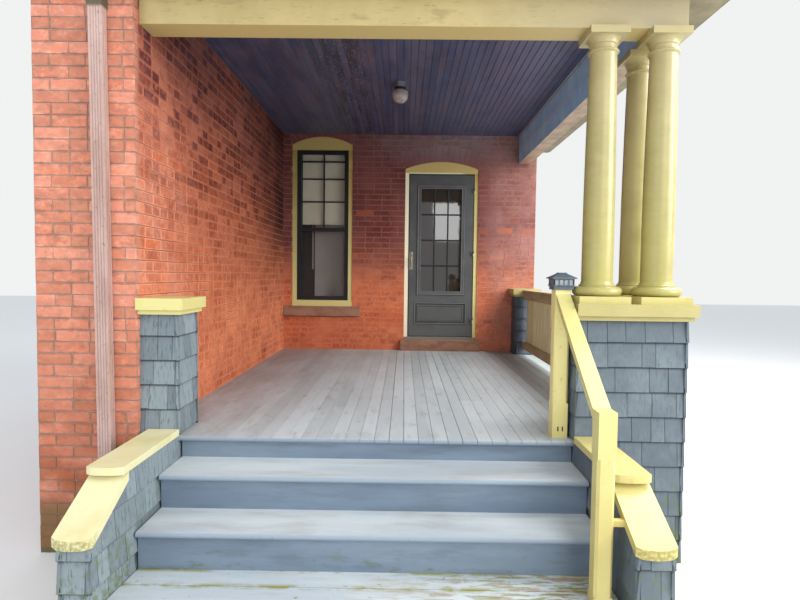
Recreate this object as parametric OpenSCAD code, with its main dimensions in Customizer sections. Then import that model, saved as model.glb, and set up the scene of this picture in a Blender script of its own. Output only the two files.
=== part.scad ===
// Front porch set into the corner of a brick house: a boarded deck with
// three painted steps, shingled piers and cheek walls, a cluster of three
// round columns, boxed beams, a low hipped roof, and the brick walls with
// the window and the door that the porch shelters.
// Working zero: X at the face of the side wall, Y at the face of the wing,
// Z at the top of the deck. The finished model is moved so that its origin
// lies at the middle of its footprint, on the ground.

/* [Walls] */
// Height of the deck above the ground
deck_h = 690; // [500:5:1000]
// Depth of the porch from the wing's face to the back wall
porch_d = 3736; // [3400:1:4500]
// Width of the back wall from the side wall to its outer corner
back_wall_w = 3150; // [3145:1:3400]
// Thickness of the brick walls
wall_t = 310; // [200:5:450]
// Height of the brick walls above the deck
wall_h = 3620; // [3400:10:4500]
// Length of the wing's front wall left of the porch
wing_w = 570; // [450:5:590]

/* [Window] */
// Left edge of the window opening
window_x = 112; // [60:1:400]
// Width of the window opening
window_w = 750; // [500:5:1000]
// Bottom of the window opening above the deck
window_z = 545; // [300:5:900]
// Springing of the window's arched head above the deck
window_spring = 2557; // [2200:1:2600]
// Rise of the window's arched head
window_rise = 98; // [40:1:110]
// Width of the window's frame on each side
window_frame_w = 50; // [30:1:90]
// Width of the storm sash's stiles and rails
sash_w = 52; // [30:1:90]
// Thickness of the storm sash
sash_t = 32; // [20:1:45]
// Thickness of the panes
glass_t = 5; // [3:1:8]
// Height of the window's wooden sill
wood_sill_h = 58; // [30:1:90]
// Height of the window's stone sill
stone_sill_h = 122; // [60:1:160]
// Overhang of the stone sill past the opening on each side
stone_sill_over = 104; // [40:1:105]
// How far the stone sill stands out of the wall
stone_sill_out = 50; // [10:1:90]

/* [Door] */
// Left edge of the door opening
door_x = 1524; // [1300:1:1700]
// Width of the door opening
door_open_w = 909; // [850:1:1000]
// Height of the arched head's springing over the leaf
door_spring_over = 55; // [30:1:75]
// Rise of the door's arched head
door_rise = 90; // [40:1:100]
// Width of the door frame on each side
door_frame_w = 44; // [30:1:60]
// Gap round the door leaf
door_gap = 5; // [5:1:8]
// Thickness of the door leaf
door_t = 42; // [32:1:50]
// Height of the door leaf
door_h = 2038; // [1950:1:2060]
// Height of the door's lower panel above the leaf's foot
door_panel_z = 175; // [140:1:190]
// Height of the door's lower panel
door_panel_h = 245; // [200:1:260]
// How far the lower panel is wider than the glass on each side
door_panel_side = 60; // [40:1:80]
// Width of the moulding round the door's glass
door_mould_w = 44; // [30:1:50]
// Height of the lowest hinge above the leaf's foot
low_hinge_z = 180; // [120:1:250]
// Drop from the leaf's top to the highest hinge
top_hinge_drop = 240; // [180:1:300]
// Height of the stone step under the door
door_sill_h = 131; // [80:1:160]
// Overhang of the stone step past the opening on each side
door_sill_over = 40; // [20:1:80]
// How far the stone step stands out of the wall
door_sill_out = 70; // [30:1:150]
// Height of the wooden threshold
threshold_h = 36; // [15:1:50]
// Left stile and right stile of the door, to the glass
door_stile_w = 152; // [90:1:200]
// Height of the door's top rail
door_top_rail = 180; // [90:1:220]
// Height of the door's glass
door_glass_h = 1282; // [900:1:1350]
// Height of the handle's middle above the leaf's bottom
handle_z = 958; // [850:1:1050]
// Height of the handle's plate
handle_h = 220; // [120:1:260]
// Width of the handle's plate
handle_w = 46; // [30:1:60]
// How far the handle stands off the leaf
handle_out = 52; // [35:1:70]
// Radius of the hinges' knuckles
knuckle_r = 8; // [6:0.5:10]
// Height of each hinge knuckle
knuckle_h = 34; // [25:1:50]
// Radius of the hinge pins
hinge_pin_r = 4; // [3:0.5:4.5]
// Running clearance round the hinge pins
pin_gap = 0.1; // [0.05:0.05:0.3]
// Gap between the two knuckles of a hinge
knuckle_gap = 0.3; // [0.2:0.1:1]

/* [Deck and steps] */
// Thickness of the deck boards
deck_t = 28; // [20:1:40]
// How far the deck's front edge lies behind the wing's face
deck_front = 13; // [0:1:25]
// Overhang of each nosing past its riser
nosing = 28; // [15:1:35]
// Left end of the steps
steps_x = 240; // [238:1:260]
// Width of the steps
steps_w = 2262; // [2000:1:2500]
// Drop from the deck to the top tread
drop_1 = 125; // [100:1:190]
// Drop from the top tread to the middle tread
drop_2 = 184; // [150:1:200]
// Drop from the middle tread to the bottom tread
drop_3 = 192; // [150:1:200]
// Run from nosing to nosing
run = 257; // [240:1:320]
// Thickness of the treads
tread_t = 30; // [25:1:45]
// Thickness of the riser boards
riser_t = 22; // [16:1:30]
// Thickness of the skirt that closes the right side under the deck
skirt_t = 30; // [20:1:50]

/* [Cheek walls] */
// Width of each cheek wall
cheek_w = 168; // [120:1:176]
// Front of the cheek walls, from the wing's face
cheek_front = 850; // [800:1:900]
// Length of the level part of the cheek walls
cheek_level = 545; // [450:1:600]
// Slope of the lower cap boards
cheek_slope = 30; // [25:1:34]
// Width of the cap boards
cheek_cap_w = 176; // [170:1:190]
// Thickness of the cap boards
cheek_cap_t = 37; // [25:1:45]
// How far the level cap boards' front ends overhang
cheek_cap_over = 62; // [20:1:70]
// How far the sloping cap boards reach past the walls' front
cap_nose = 12; // [5:1:30]
// Bow of the cap boards' front ends between their cut corners
cheek_bow = 6; // [3:1:20]
// Width of the cut corners of the cap boards' front ends
cap_cut_w = 24; // [10:1:40]
// Depth of the cut corners of the cap boards' front ends
cap_cut_d = 12; // [5:1:30]
// How far the left caps sit off the middle of their wall
left_cap_off = 14; // [0:1:20]
// How far the left cheek wall's front end splays away from the steps
cheek_splay = 22; // [5:1:30]

/* [Piers] */
// Height of the piers to the top of their caps
pier_h = 797; // [650:1:900]
// Height of a cap's fascia
cap_h = 67; // [40:1:90]
// Height of the moulding under a cap
cap_mould_h = 26; // [15:1:40]
// Overhang of a cap past its pier
cap_over = 35; // [20:1:45]
// Overhang of the corner pier's cap on the side of the steps
cap_over_steps = 10; // [5:1:21]
// Width of the left pier
left_pier_w = 232; // [200:1:236]
// Depth of the left pier
left_pier_d = 296; // [200:1:400]
// Left side of the corner pier
corner_x = 2502; // [2300:1:2600]
// Width of the corner pier
corner_w = 633; // [560:1:700]
// Depth of the corner pier
corner_d = 608; // [560:1:700]
// Width of the corner pier's two arms
corner_arm = 300; // [295:1:400]
// How far the corner pier stands in front of the wing's face
corner_out = 10; // [0:1:30]
// Width of the rear pier
rear_pier_w = 264; // [220:1:340]
// Depth of the rear pier
rear_pier_d = 287; // [200:1:400]

/* [Columns] */
// Side of a column's square plinth
plinth_w = 290; // [260:1:300]
// Height of the plinth
plinth_h = 42; // [25:1:60]
// Distance of the front columns' axes from the wing's face
col_y = 130; // [120:1:150]
// Distance of the rear column's axis from the wing's face
col_rear_y = 445; // [430:1:460]
// Radius of the torus at a column's foot
torus_r = 139; // [110:1:145]
// Height of the torus
torus_h = 55; // [40:1:70]
// Radius at the foot of a shaft
shaft_r1 = 88; // [75:1:95]
// Radius at the neck of a shaft
shaft_r2 = 75; // [60:1:82]
// Side of the square abacus
abacus_w = 220; // [205:1:250]
// Height of the abacus
abacus_h = 40; // [25:1:55]
// Height of the moulded capital under the abacus
capital_h = 84; // [60:1:110]
// Height of the flared bell of the capital
bell_h = 34; // [20:1:45]
// Radius of the necking ring
ring_r = 10; // [6:1:13]
// Height of the fillet over the torus
fillet_h = 14; // [8:1:20]
// Height of the flare at the foot of a shaft
flare_h = 16; // [10:1:25]

/* [Beams, ceiling and roof] */
// Underside of the beams above the deck
beam_z = 2349; // [2250:1:2400]
// Thickness of the front beam
front_beam_t = 160; // [120:1:200]
// Distance of the front beam's face behind the wing's face
front_beam_y = 61; // [40:1:75]
// Inner face of the side beam from the side wall
side_beam_x = 2931; // [2900:1:2960]
// Thickness of the side beam
side_beam_t = 143; // [120:1:150]
// How far the front beam runs past the side beam
beam_end = 27; // [5:1:40]
// Height of the ceiling above the deck
ceiling_z = 2689; // [2600:1:2750]
// Thickness of the ceiling boards
ceiling_t = 20; // [12:1:30]
// Underside of the eaves above the deck
soffit_z = 2560; // [2500:1:2600]
// How far the eaves stand out past the beams
eave_out = 300; // [200:1:400]
// How far the crown moulding stands out past the eaves
crown_out = 24; // [10:1:40]
// Slope of the roof
roof_slope = 10; // [6:0.5:12]
// Thickness of the roof's edge
roof_edge = 18; // [10:1:30]
// Diameter of the ceiling light's plate
light_base_d = 136; // [100:1:180]
// Height of the ceiling light's plate
light_base_h = 40; // [20:1:60]
// Diameter of the ceiling light's globe
globe_d = 150; // [110:1:200]
// Ceiling light's distance from the side wall
light_x = 1463; // [1000:1:2000]
// Ceiling light's distance from the wing's face
light_y = 1941; // [1500:1:2500]

/* [Railing, newels and downspout] */
// Inner face of the side railing from the side wall
side_rail_x = 2960; // [2920:1:3040]
// Thickness of the railing's rails
rail_t = 38; // [30:1:45]
// Height of the railing's rails
rail_h = 89; // [70:1:100]
// Top of the railing's upper rail above the deck
rail_top = 762; // [700:1:800]
// Gap under the railing's lower rail
rail_gap = 78; // [40:1:120]
// Thickness of the railing's vertical boards
rail_board_t = 19; // [12:1:25]
// Width of the flat board on the railing
rail_cap_w = 92; // [70:1:110]
// Thickness of the flat board on the railing
rail_cap_t = 23; // [15:1:30]
// Side of the square upper newel
newel_w = 88; // [75:1:88]
// Side of the square lower newel
lower_newel_w = 80; // [70:1:90]
// Height of the upper newel's square foot
newel_foot = 205; // [120:1:300]
// Height of the upper newel's square head
newel_head = 172; // [120:1:300]
// Height of the lower newel's square foot
lower_foot = 48; // [30:1:250]
// Height of the lower newel's square head
lower_head = 206; // [150:1:300]
// Chamfer on the newels' corners
newel_chamfer = 12; // [3:1:15]
// Left side of the upper newel
upper_newel_x = 2402; // [2300:1:2402]
// Front of the upper newel behind the wing's face
upper_newel_y = 90; // [30:1:110]
// Height of the upper newel
upper_newel_h = 872; // [800:1:950]
// Left side of the lower newel
lower_newel_x = 2365; // [2300:1:2400]
// Front of the lower newel before the wing's face
lower_newel_y = 750; // [680:1:750]
// Height of the lower newel's top above the deck
lower_newel_z = 365; // [250:1:400]
// Top of the handrail at the upper newel above the deck
handrail_z = 846; // [780:1:860]
// Width of the handrail
handrail_w = 80; // [70:1:88]
// Thickness of the handrail
handrail_t = 38; // [30:1:45]
// Side of the block between the lower newel and the cheek's cap
block_w = 27; // [18:1:40]
// How far the block is set back from the newel's front
block_back = 5; // [0:1:20]
// How far the block's underside lies below the deck
block_drop = 141; // [125:1:145]
// Width of the lantern's roof
lantern_w = 145; // [120:1:170]
// Height of the lantern
lantern_h = 100; // [80:1:130]
// Width of the downspout
spout_w = 76; // [60:1:110]
// Depth of the downspout
spout_d = 51; // [45:1:80]
// Left side of the downspout at the top
spout_x = -230; // [-400:1:-200]
// Lean of the downspout towards the porch, in degrees
spout_lean = 0.55; // [0:0.05:1]
// Gap between the downspout and the wall
spout_gap = 12; // [5:1:30]

/* [Hidden] */
$fn = 64;

brick_red = "#b5523a";
paint_yellow = "#f0e8a5";
shingle_blue = "#6e7f8c";
deck_grey = "#8c8f94";
step_blue = "#8a99a8";
brown_stone = "#8a6152";
door_grey = "#4a4c50";
sash_black = "#23252c";
ceiling_plum = "#3c3446";

// Extents that set the origin
corner_right = corner_x + corner_w;
arm_x = corner_right - corner_arm;
beam_right = side_beam_x + side_beam_t + beam_end;
eave_right = side_beam_x + side_beam_t + eave_out;
eave_front = front_beam_y - eave_out;
wall_back = porch_d + wall_t;
cap_front = cheek_front + cap_nose;
max_x = eave_right + crown_out;
min_x = -wing_w;
min_y = -cap_front;
shift = [-(max_x + min_x) / 2, -(wall_back + min_y) / 2, deck_h];

// Door places
leaf_x = door_x + door_frame_w + door_gap;
leaf_w = door_open_w - 2 * (door_frame_w + door_gap);
leaf_z = door_sill_h + threshold_h + door_gap;
leaf_y = porch_d + 14;
door_glass_x = leaf_x + door_stile_w;
door_glass_w = leaf_w - 2 * door_stile_w;
door_glass_z = leaf_z + door_h - door_top_rail - door_glass_h;
door_head = leaf_z + door_h + door_gap;
door_spring = door_head + door_spring_over;
frame_y = porch_d + 6;
frame_d = 110;
stop_t = 14;
rebate_gap = 5;
plate_t = 3;
hinge_x = leaf_x + leaf_w + door_gap / 2;
hinge_y = frame_y - plate_t - knuckle_r + 1;
hinge_zs = [leaf_z + low_hinge_z, leaf_z + door_h / 2,
    leaf_z + door_h - top_hinge_drop];

// Window places
win_in_x = window_x + window_frame_w;
win_in_w = window_w - 2 * window_frame_w;
win_in_z = window_z + wood_sill_h + 15;
win_head = window_spring - 60;
sash_y = porch_d + 34;
meet_z = win_in_z + (win_head - win_in_z) * 0.475;
pane_bed = 8;

// Step places: tops of the treads, and the fronts of their nosings
tread_z = [-drop_1, -drop_1 - drop_2, -drop_1 - drop_2 - drop_3];
nose_y = [deck_front - run - 17, deck_front - 2 * run - 13,
    deck_front - 3 * run - 7];
riser_y = [deck_front + nosing, nose_y[0] + nosing, nose_y[1] + nosing,
    nose_y[2] + nosing];
steps_right = steps_x + steps_w;
deck_right = corner_right - 5;

// Cheek places
left_cheek_x = steps_x - cheek_w;
right_cheek_x = steps_right;
cheek_drop = cheek_cap_t / cos(cheek_slope);
cheek_top = 3;

// Pier places
body_top = pier_h - cap_h - cap_mould_h;
left_pier_y = 22;
rear_pier_x = corner_right - rear_pier_w;
rear_pier_y = porch_d - rear_pier_d;
corner_back = corner_d - corner_out;
col_x1 = corner_x + plinth_w / 2 + 5;
col_x2 = corner_right - plinth_w / 2 + 9;

// Roof places
eave_top = ceiling_z + ceiling_t;
light_z = ceiling_z - light_base_h;

// A prism whose outline lies in the Y-Z plane, drawn from x0 to x0 + w
module side_prism(x0, w, pts) {
    translate([x0, 0, 0]) rotate([90, 0, 90])
        linear_extrude(height = w) polygon(pts);
}

// A prism whose outline lies in the X-Z plane, drawn from y0 to y0 + d
module front_prism(y0, d, pts) {
    translate([0, y0 + d, 0]) rotate([90, 0, 0])
        linear_extrude(height = d) polygon(pts);
}

// An opening with a segmental head, open downward to z0
module arched(x0, w, z0, spring, rise, y0, d) {
    r = (w * w / 4 + rise * rise) / (2 * rise);
    intersection() {
        translate([x0, y0, z0]) cube([w, d, spring + rise - z0 + 1]);
        union() {
            translate([x0, y0, z0]) cube([w, d, spring - z0]);
            translate([x0 + w / 2, y0 - 1, spring + rise - r])
                rotate([-90, 0, 0]) cylinder(r = r, h = d + 2, $fn = 180);
        }
    }
}

// The back wall left of the door, with the window cut through it
module back_wall_by_window() {
    color(brick_red) translate(shift) difference() {
        translate([0, porch_d, -deck_h])
            cube([door_x, wall_t, deck_h + wall_h]);
        arched(window_x, window_w, window_z, window_spring, window_rise,
            porch_d - 1, wall_t + 2);
        translate([window_x - stone_sill_over, porch_d - 1,
            window_z - stone_sill_h])
            cube([window_w + 2 * stone_sill_over, wall_t / 2 + 1,
                stone_sill_h]);
    }
}

// The back wall right of the door
module back_wall_right() {
    x0 = door_x + door_open_w;
    color(brick_red) translate(shift)
        translate([x0, porch_d, -deck_h])
            cube([back_wall_w - x0, wall_t, deck_h + wall_h]);
}

// The back wall over the door, with the arched head
module back_wall_over_door() {
    color(brick_red) translate(shift) difference() {
        translate([door_x, porch_d, door_head])
            cube([door_open_w, wall_t, wall_h - door_head]);
        arched(door_x, door_open_w, door_head - 2, door_spring, door_rise,
            porch_d - 1, wall_t + 2);
    }
}

// The back wall under the door's stone step
module back_wall_under_door() {
    color(brick_red) translate(shift)
        translate([door_x, porch_d, -deck_h])
            cube([door_open_w, wall_t, deck_h]);
}

// The side wall of the wing and the stub of its front wall
module wing_wall() {
    color(brick_red) translate(shift) union() {
        translate([-wall_t, 0, -deck_h])
            cube([wall_t, wall_back, deck_h + wall_h]);
        translate([-wing_w, 0, -deck_h])
            cube([wing_w - wall_t, wall_t, deck_h + wall_h]);
    }
}

// Ribbed rectangular downspout with its straps
module downspout() {
    top = wall_h - 60;
    len = top + deck_h - 40;
    rib = 6;
    color("#a58c87") translate(shift) {
        translate([spout_x, -spout_gap - spout_d, top])
            rotate([0, -spout_lean, 0]) union() {
                difference() {
                    translate([0, 0, -len]) cube([spout_w, spout_d, len]);
                    for (i = [1 : 4])
                        translate([i * spout_w / 5 - rib / 2, -1, -len - 1])
                            cube([rib, rib / 2 + 1, len + 2]);
                    for (i = [1 : 2]) for (s = [0, 1])
                        translate([s == 0 ? -1 : spout_w - rib / 2,
                            i * spout_d / 3 - rib / 2, -len - 1])
                            cube([rib / 2 + 1, rib, len + 2]);
                }
                for (z = [[0.278, 70], [0.914, 32]])
                    translate([-4, -4, -z[0] * len])
                        cube([spout_w + 8, spout_d + 4 + spout_gap, z[1]]);
            }
    }
}

// Frame of the window: jambs, arched head board and wooden sill
module window_frame() {
    color(paint_yellow) translate(shift) union() {
        difference() {
            arched(window_x, window_w, window_z + wood_sill_h,
                window_spring, window_rise, frame_y, frame_d);
            translate([win_in_x, frame_y - 1, win_in_z])
                cube([win_in_w, frame_d + 2, win_head - win_in_z]);
        }
        translate([window_x, porch_d - 12, window_z])
            cube([window_w, frame_d + 18, wood_sill_h]);
    }
}

// Storm sash: two lights with a meeting rail between them
module storm_sash() {
    color(sash_black) translate(shift) difference() {
        translate([win_in_x, sash_y, win_in_z])
            cube([win_in_w, sash_t, win_head - win_in_z]);
        translate([win_in_x + sash_w, sash_y - 1, win_in_z + sash_w])
            cube([win_in_w - 2 * sash_w, sash_t + 2,
                meet_z - win_in_z - 1.4 * sash_w]);
        translate([win_in_x + sash_w, sash_y - 1, meet_z + sash_w * 0.4])
            cube([win_in_w - 2 * sash_w, sash_t + 2,
                win_head - meet_z - 1.4 * sash_w]);
    }
}

// The two panes of the window, bedded on the back of the sash
module window_panes() {
    color("lightblue") translate(shift) {
        translate([win_in_x + sash_w - pane_bed, sash_y + sash_t,
            win_in_z + sash_w - pane_bed])
            cube([win_in_w - 2 * (sash_w - pane_bed), glass_t,
                win_head - win_in_z - 2 * (sash_w - pane_bed)]);
    }
}

// Stone sill of the window
module window_sill_stone() {
    color(brown_stone) translate(shift)
        translate([window_x - stone_sill_over, porch_d - stone_sill_out,
            window_z - stone_sill_h])
            cube([window_w + 2 * stone_sill_over,
                stone_sill_out + wall_t / 2, stone_sill_h]);
}

// Frame of the door: jambs, arched head board, stops and threshold
module door_frame() {
    in_x = door_x + door_frame_w;
    in_w = door_open_w - 2 * door_frame_w;
    stop_y = leaf_y + door_t + rebate_gap;
    z0 = door_sill_h;
    color(paint_yellow) translate(shift) union() {
        difference() {
            arched(door_x, door_open_w, z0, door_spring, door_rise,
                frame_y, frame_d);
            translate([in_x, frame_y - 1, z0 + threshold_h])
                cube([in_w, stop_y - frame_y + 1, door_head - z0
                    - threshold_h]);
            translate([in_x + stop_t, frame_y - 1, z0 + threshold_h])
                cube([in_w - 2 * stop_t, frame_d + 2,
                    door_head - stop_t - z0 - threshold_h]);
        }
        for (z = hinge_zs) {
            translate([hinge_x, hinge_y, z])
                cylinder(r = knuckle_r, h = knuckle_h);
            translate([hinge_x, hinge_y, z])
                cylinder(r = hinge_pin_r, h = 2 * knuckle_h);
            translate([hinge_x, frame_y - plate_t, z])
                cube([24, plate_t, knuckle_h]);
        }
    }
}

// Door leaf with the glazed opening and the raised lower panel
module door_leaf() {
    lip = 16;
    panel_x = door_glass_x - door_panel_side;
    panel_z = leaf_z + door_panel_z;
    panel_w = door_glass_w + 2 * door_panel_side;
    color(door_grey) translate(shift) union() {
        difference() {
            translate([leaf_x, leaf_y, leaf_z])
                cube([leaf_w, door_t, door_h]);
            translate([door_glass_x, leaf_y - 1, door_glass_z])
                cube([door_glass_w, door_t + 2, door_glass_h]);
            translate([panel_x, leaf_y - 1, panel_z])
                cube([panel_w, 11, door_panel_h]);
        }
        translate([panel_x + lip, leaf_y + 2, panel_z + lip])
            cube([panel_w - 2 * lip, 9, door_panel_h - 2 * lip]);
        difference() {
            translate([door_glass_x - door_mould_w, leaf_y - 8,
                door_glass_z - door_mould_w])
                cube([door_glass_w + 2 * door_mould_w, 9,
                    door_glass_h + 2 * door_mould_w]);
            translate([door_glass_x, leaf_y - 10, door_glass_z])
                cube([door_glass_w, 14, door_glass_h]);
        }
        difference() {
            for (z = hinge_zs) {
                translate([hinge_x, hinge_y, z + knuckle_h + knuckle_gap])
                    cylinder(r = knuckle_r, h = knuckle_h);
                translate([hinge_x - 34, hinge_y + knuckle_r - plate_t,
                    z + knuckle_h + knuckle_gap])
                    cube([34, leaf_y - hinge_y - knuckle_r + plate_t,
                        knuckle_h]);
            }
            for (z = hinge_zs)
                translate([hinge_x, hinge_y, z + knuckle_h])
                    cylinder(r = hinge_pin_r + pin_gap,
                        h = knuckle_h + 2 * knuckle_gap + 1);
        }
    }
}

// Pane of the door, bedded in the middle of the leaf
module door_panes() {
    color("lightblue") translate(shift)
        translate([door_glass_x, leaf_y + door_t / 2 - glass_t / 2,
            door_glass_z])
            cube([door_glass_w, glass_t, door_glass_h]);
}

// Handle: a plate, a pull on two posts and the lock's rose
module door_handle() {
    px = leaf_x + 34;
    pz = leaf_z + handle_z - handle_h / 2;
    color("#8d8470") translate(shift) union() {
        translate([px - handle_w / 2, leaf_y - 6, pz])
            cube([handle_w, 6, handle_h]);
        for (z = [55, 145])
            translate([px, leaf_y - 5, pz + z]) rotate([90, 0, 0])
                cylinder(d = 12, h = handle_out - 11);
        translate([px, leaf_y - handle_out + 8, pz + 40])
            cylinder(d = 16, h = 120);
        translate([px, leaf_y - 5, pz + handle_h - 28])
            rotate([90, 0, 0]) cylinder(d = 26, h = 10);
    }
}

// Stone step under the door
module door_step_stone() {
    color(brown_stone) translate(shift) union() {
        translate([door_x - door_sill_over, porch_d - door_sill_out, 0])
            cube([door_open_w + 2 * door_sill_over, door_sill_out,
                door_sill_h]);
        translate([door_x, porch_d, 0])
            cube([door_open_w, wall_t * 0.6, door_sill_h]);
    }
}

// Deck boards with a rounded front edge, cut round the piers
module porch_deck() {
    r = deck_t / 2;
    color(deck_grey) translate(shift) difference() {
        union() {
            translate([0, deck_front + r, -deck_t])
                cube([deck_right, porch_d - deck_front - r, deck_t]);
            translate([0, deck_front + r, -r]) rotate([0, 90, 0])
                cylinder(r = r, h = deck_right);
        }
        translate([-1, deck_front - 1, -deck_t - 1])
            cube([steps_x + 1, left_pier_y - deck_front + 1, deck_t + 2]);
        translate([-1, left_pier_y, -deck_t - 1])
            cube([left_pier_w + 1, left_pier_d, deck_t + 2]);
        translate([corner_x, -corner_out - 1, -deck_t - 1])
            cube([corner_w + 2, corner_arm + 1, deck_t + 2]);
        translate([arm_x, -corner_out - 1, -deck_t - 1])
            cube([corner_arm + 2, corner_d + 1, deck_t + 2]);
        translate([rear_pier_x, rear_pier_y, -deck_t - 1])
            cube([rear_pier_w + 2, rear_pier_d + 1, deck_t + 2]);
    }
}

// Shingled skirt that closes the right side under the deck
module side_skirt() {
    color(shingle_blue) translate(shift)
        translate([deck_right - skirt_t, corner_back, -deck_h])
            cube([skirt_t, rear_pier_y - corner_back, deck_h - deck_t]);
}

// A tread with a rounded nosing; i counts from the top
module tread(i) {
    r = tread_t / 2;
    z = tread_z[i] - tread_t;
    back = riser_y[i];
    x0 = i == 2 ? steps_x - cheek_splay : steps_x;
    color(step_blue) translate(shift) union() {
        translate([x0, nose_y[i] + r, z])
            cube([steps_right - x0, back - nose_y[i] - r, tread_t]);
        translate([x0, nose_y[i] + r, z + r]) rotate([0, 90, 0])
            cylinder(r = r, h = steps_right - x0);
    }
}

module top_tread() { tread(0); }

module middle_tread() { tread(1); }

module bottom_tread() {
    difference() {
        tread(2);
        translate(shift) splay_block(-1);
    }
}

// The four riser boards
module step_risers() {
    tops = [-deck_t, tread_z[0] - tread_t, tread_z[1] - tread_t,
        tread_z[2] - tread_t];
    feet = [tread_z[0] - tread_t, tread_z[1] - tread_t,
        tread_z[2] - tread_t, -deck_h];
    x0 = [steps_x, steps_x, steps_x, steps_x - cheek_splay];
    color("#55687c") translate(shift) difference() {
        union() for (i = [0 : 3])
            translate([x0[i], riser_y[i], feet[i]])
                cube([steps_right - x0[i], riser_t, tops[i] - feet[i]]);
        splay_block(-1);
    }
}

// Shingled cheek wall beside the steps, back against back_y
module cheek_wall(x0, back_y) {
    s = tan(cheek_slope);
    k = cheek_top - cheek_drop;
    color(shingle_blue) translate(shift)
        side_prism(x0, cheek_w, [[back_y, -deck_h], [back_y, cheek_top],
            [-cheek_level, cheek_top], [-cheek_level, k],
            [-cheek_front, k - (cheek_front - cheek_level) * s],
            [-cheek_front, -deck_h]]);
}

// Plan of a cap board, its front end bowed between two cut corners
module cap_plan(w, front, back, h) {
    c = cap_cut_w;
    e = front + cheek_bow;
    half = w / 2 - c;
    r = (half * half + cheek_bow * cheek_bow) / (2 * cheek_bow);
    intersection() {
        linear_extrude(height = h) polygon([[0, back],
            [0, e + cap_cut_d], [c, e], [c, front - 1],
            [w - c, front - 1], [w - c, e], [w, e + cap_cut_d],
            [w, back]]);
        union() {
            translate([w / 2, front + r, -1])
                cylinder(r = r, h = h + 2, $fn = 180);
            translate([-1, front + r, -1])
                cube([w + 2, cheek_front + deck_h, h + 2]);
        }
    }
}

// Cap boards of a cheek wall: a level board over a sloping one
module cheek_caps(x0, back_y, off) {
    s = tan(cheek_slope);
    w = cheek_cap_w;
    xc = x0 + cheek_w / 2 - w / 2 - off;
    end = cap_front + 20;
    color(paint_yellow) translate(shift) union() {
        translate([xc, 0, cheek_top]) cap_plan(w,
            -cheek_level - cheek_cap_over, back_y, cheek_cap_t);
        intersection() {
            side_prism(xc, w, [[-cheek_level, cheek_top],
                [-cheek_level, cheek_top - cheek_drop],
                [-end, cheek_top - cheek_drop - (end - cheek_level) * s],
                [-end, cheek_top - (end - cheek_level) * s]]);
            translate([xc, 0, -deck_h])
                cap_plan(w, -cap_front, 0, deck_h + cheek_cap_t);
        }
    }
}

// Where the left cheek wall's splayed inner face stands
function splay_x(y) = steps_x - cheek_splay * (riser_y[2] - y)
    / (riser_y[2] + cheek_front);

// Block on one side of that face, from the last riser to the wall's front
module splay_block(side) {
    end = -cheek_front - 1;
    far = steps_x + side * 2 * cheek_splay;
    translate([0, 0, -deck_h - 1]) linear_extrude(height = deck_h + 10)
        polygon([[steps_x, riser_y[2]], [far, riser_y[2]], [far, end],
            [splay_x(end), end]]);
}

module left_cheek_wall() {
    difference() {
        cheek_wall(left_cheek_x, left_pier_y);
        translate(shift) splay_block(1);
    }
}

module left_cheek_caps() {
    cheek_caps(left_cheek_x, left_pier_y, left_cap_off);
}

module right_cheek_wall() { cheek_wall(right_cheek_x, -corner_out); }

module right_cheek_caps() { cheek_caps(right_cheek_x, -corner_out, 0); }

// Shingled body of a pier
module pier_body(x0, y0, w, d) {
    color(shingle_blue) translate(shift)
        translate([x0, y0, -deck_h]) cube([w, d, deck_h + body_top]);
}

// Cap of a pier: a fascia board over a stepped moulding. The overhangs are
// given for the left, right, front and back
module pier_cap(x0, y0, w, d, o) {
    m = cap_over * 0.45;
    color(paint_yellow) translate(shift) union() {
        translate([x0 - o[0], y0 - o[2], body_top + cap_mould_h])
            cube([w + o[0] + o[1], d + o[2] + o[3], cap_h]);
        translate([x0 - min(o[0], m), y0 - min(o[2], m), body_top])
            cube([w + min(o[0], m) + min(o[1], m),
                d + min(o[2], m) + min(o[3], m), cap_mould_h]);
    }
}

module left_pier() {
    pier_body(0, left_pier_y, left_pier_w, left_pier_d);
}

module left_pier_cap() {
    pier_cap(0, left_pier_y, left_pier_w, left_pier_d,
        [0, cap_over, cap_over, cap_over]);
}

module corner_pier() {
    union() {
        pier_body(corner_x, -corner_out, corner_w, corner_arm);
        pier_body(arm_x, -corner_out, corner_arm, corner_d);
    }
}

module corner_pier_cap() {
    union() {
        pier_cap(corner_x, -corner_out, corner_w, corner_arm,
            [cap_over_steps, cap_over, cap_over, cap_over]);
        pier_cap(arm_x, -corner_out, corner_arm, corner_d,
            [cap_over, cap_over, cap_over, cap_over]);
    }
}

module rear_pier() {
    pier_body(rear_pier_x, rear_pier_y, rear_pier_w, rear_pier_d);
}

module rear_pier_cap() {
    pier_cap(rear_pier_x, rear_pier_y, rear_pier_w, rear_pier_d,
        [cap_over, cap_over, cap_over, 0]);
}

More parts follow.
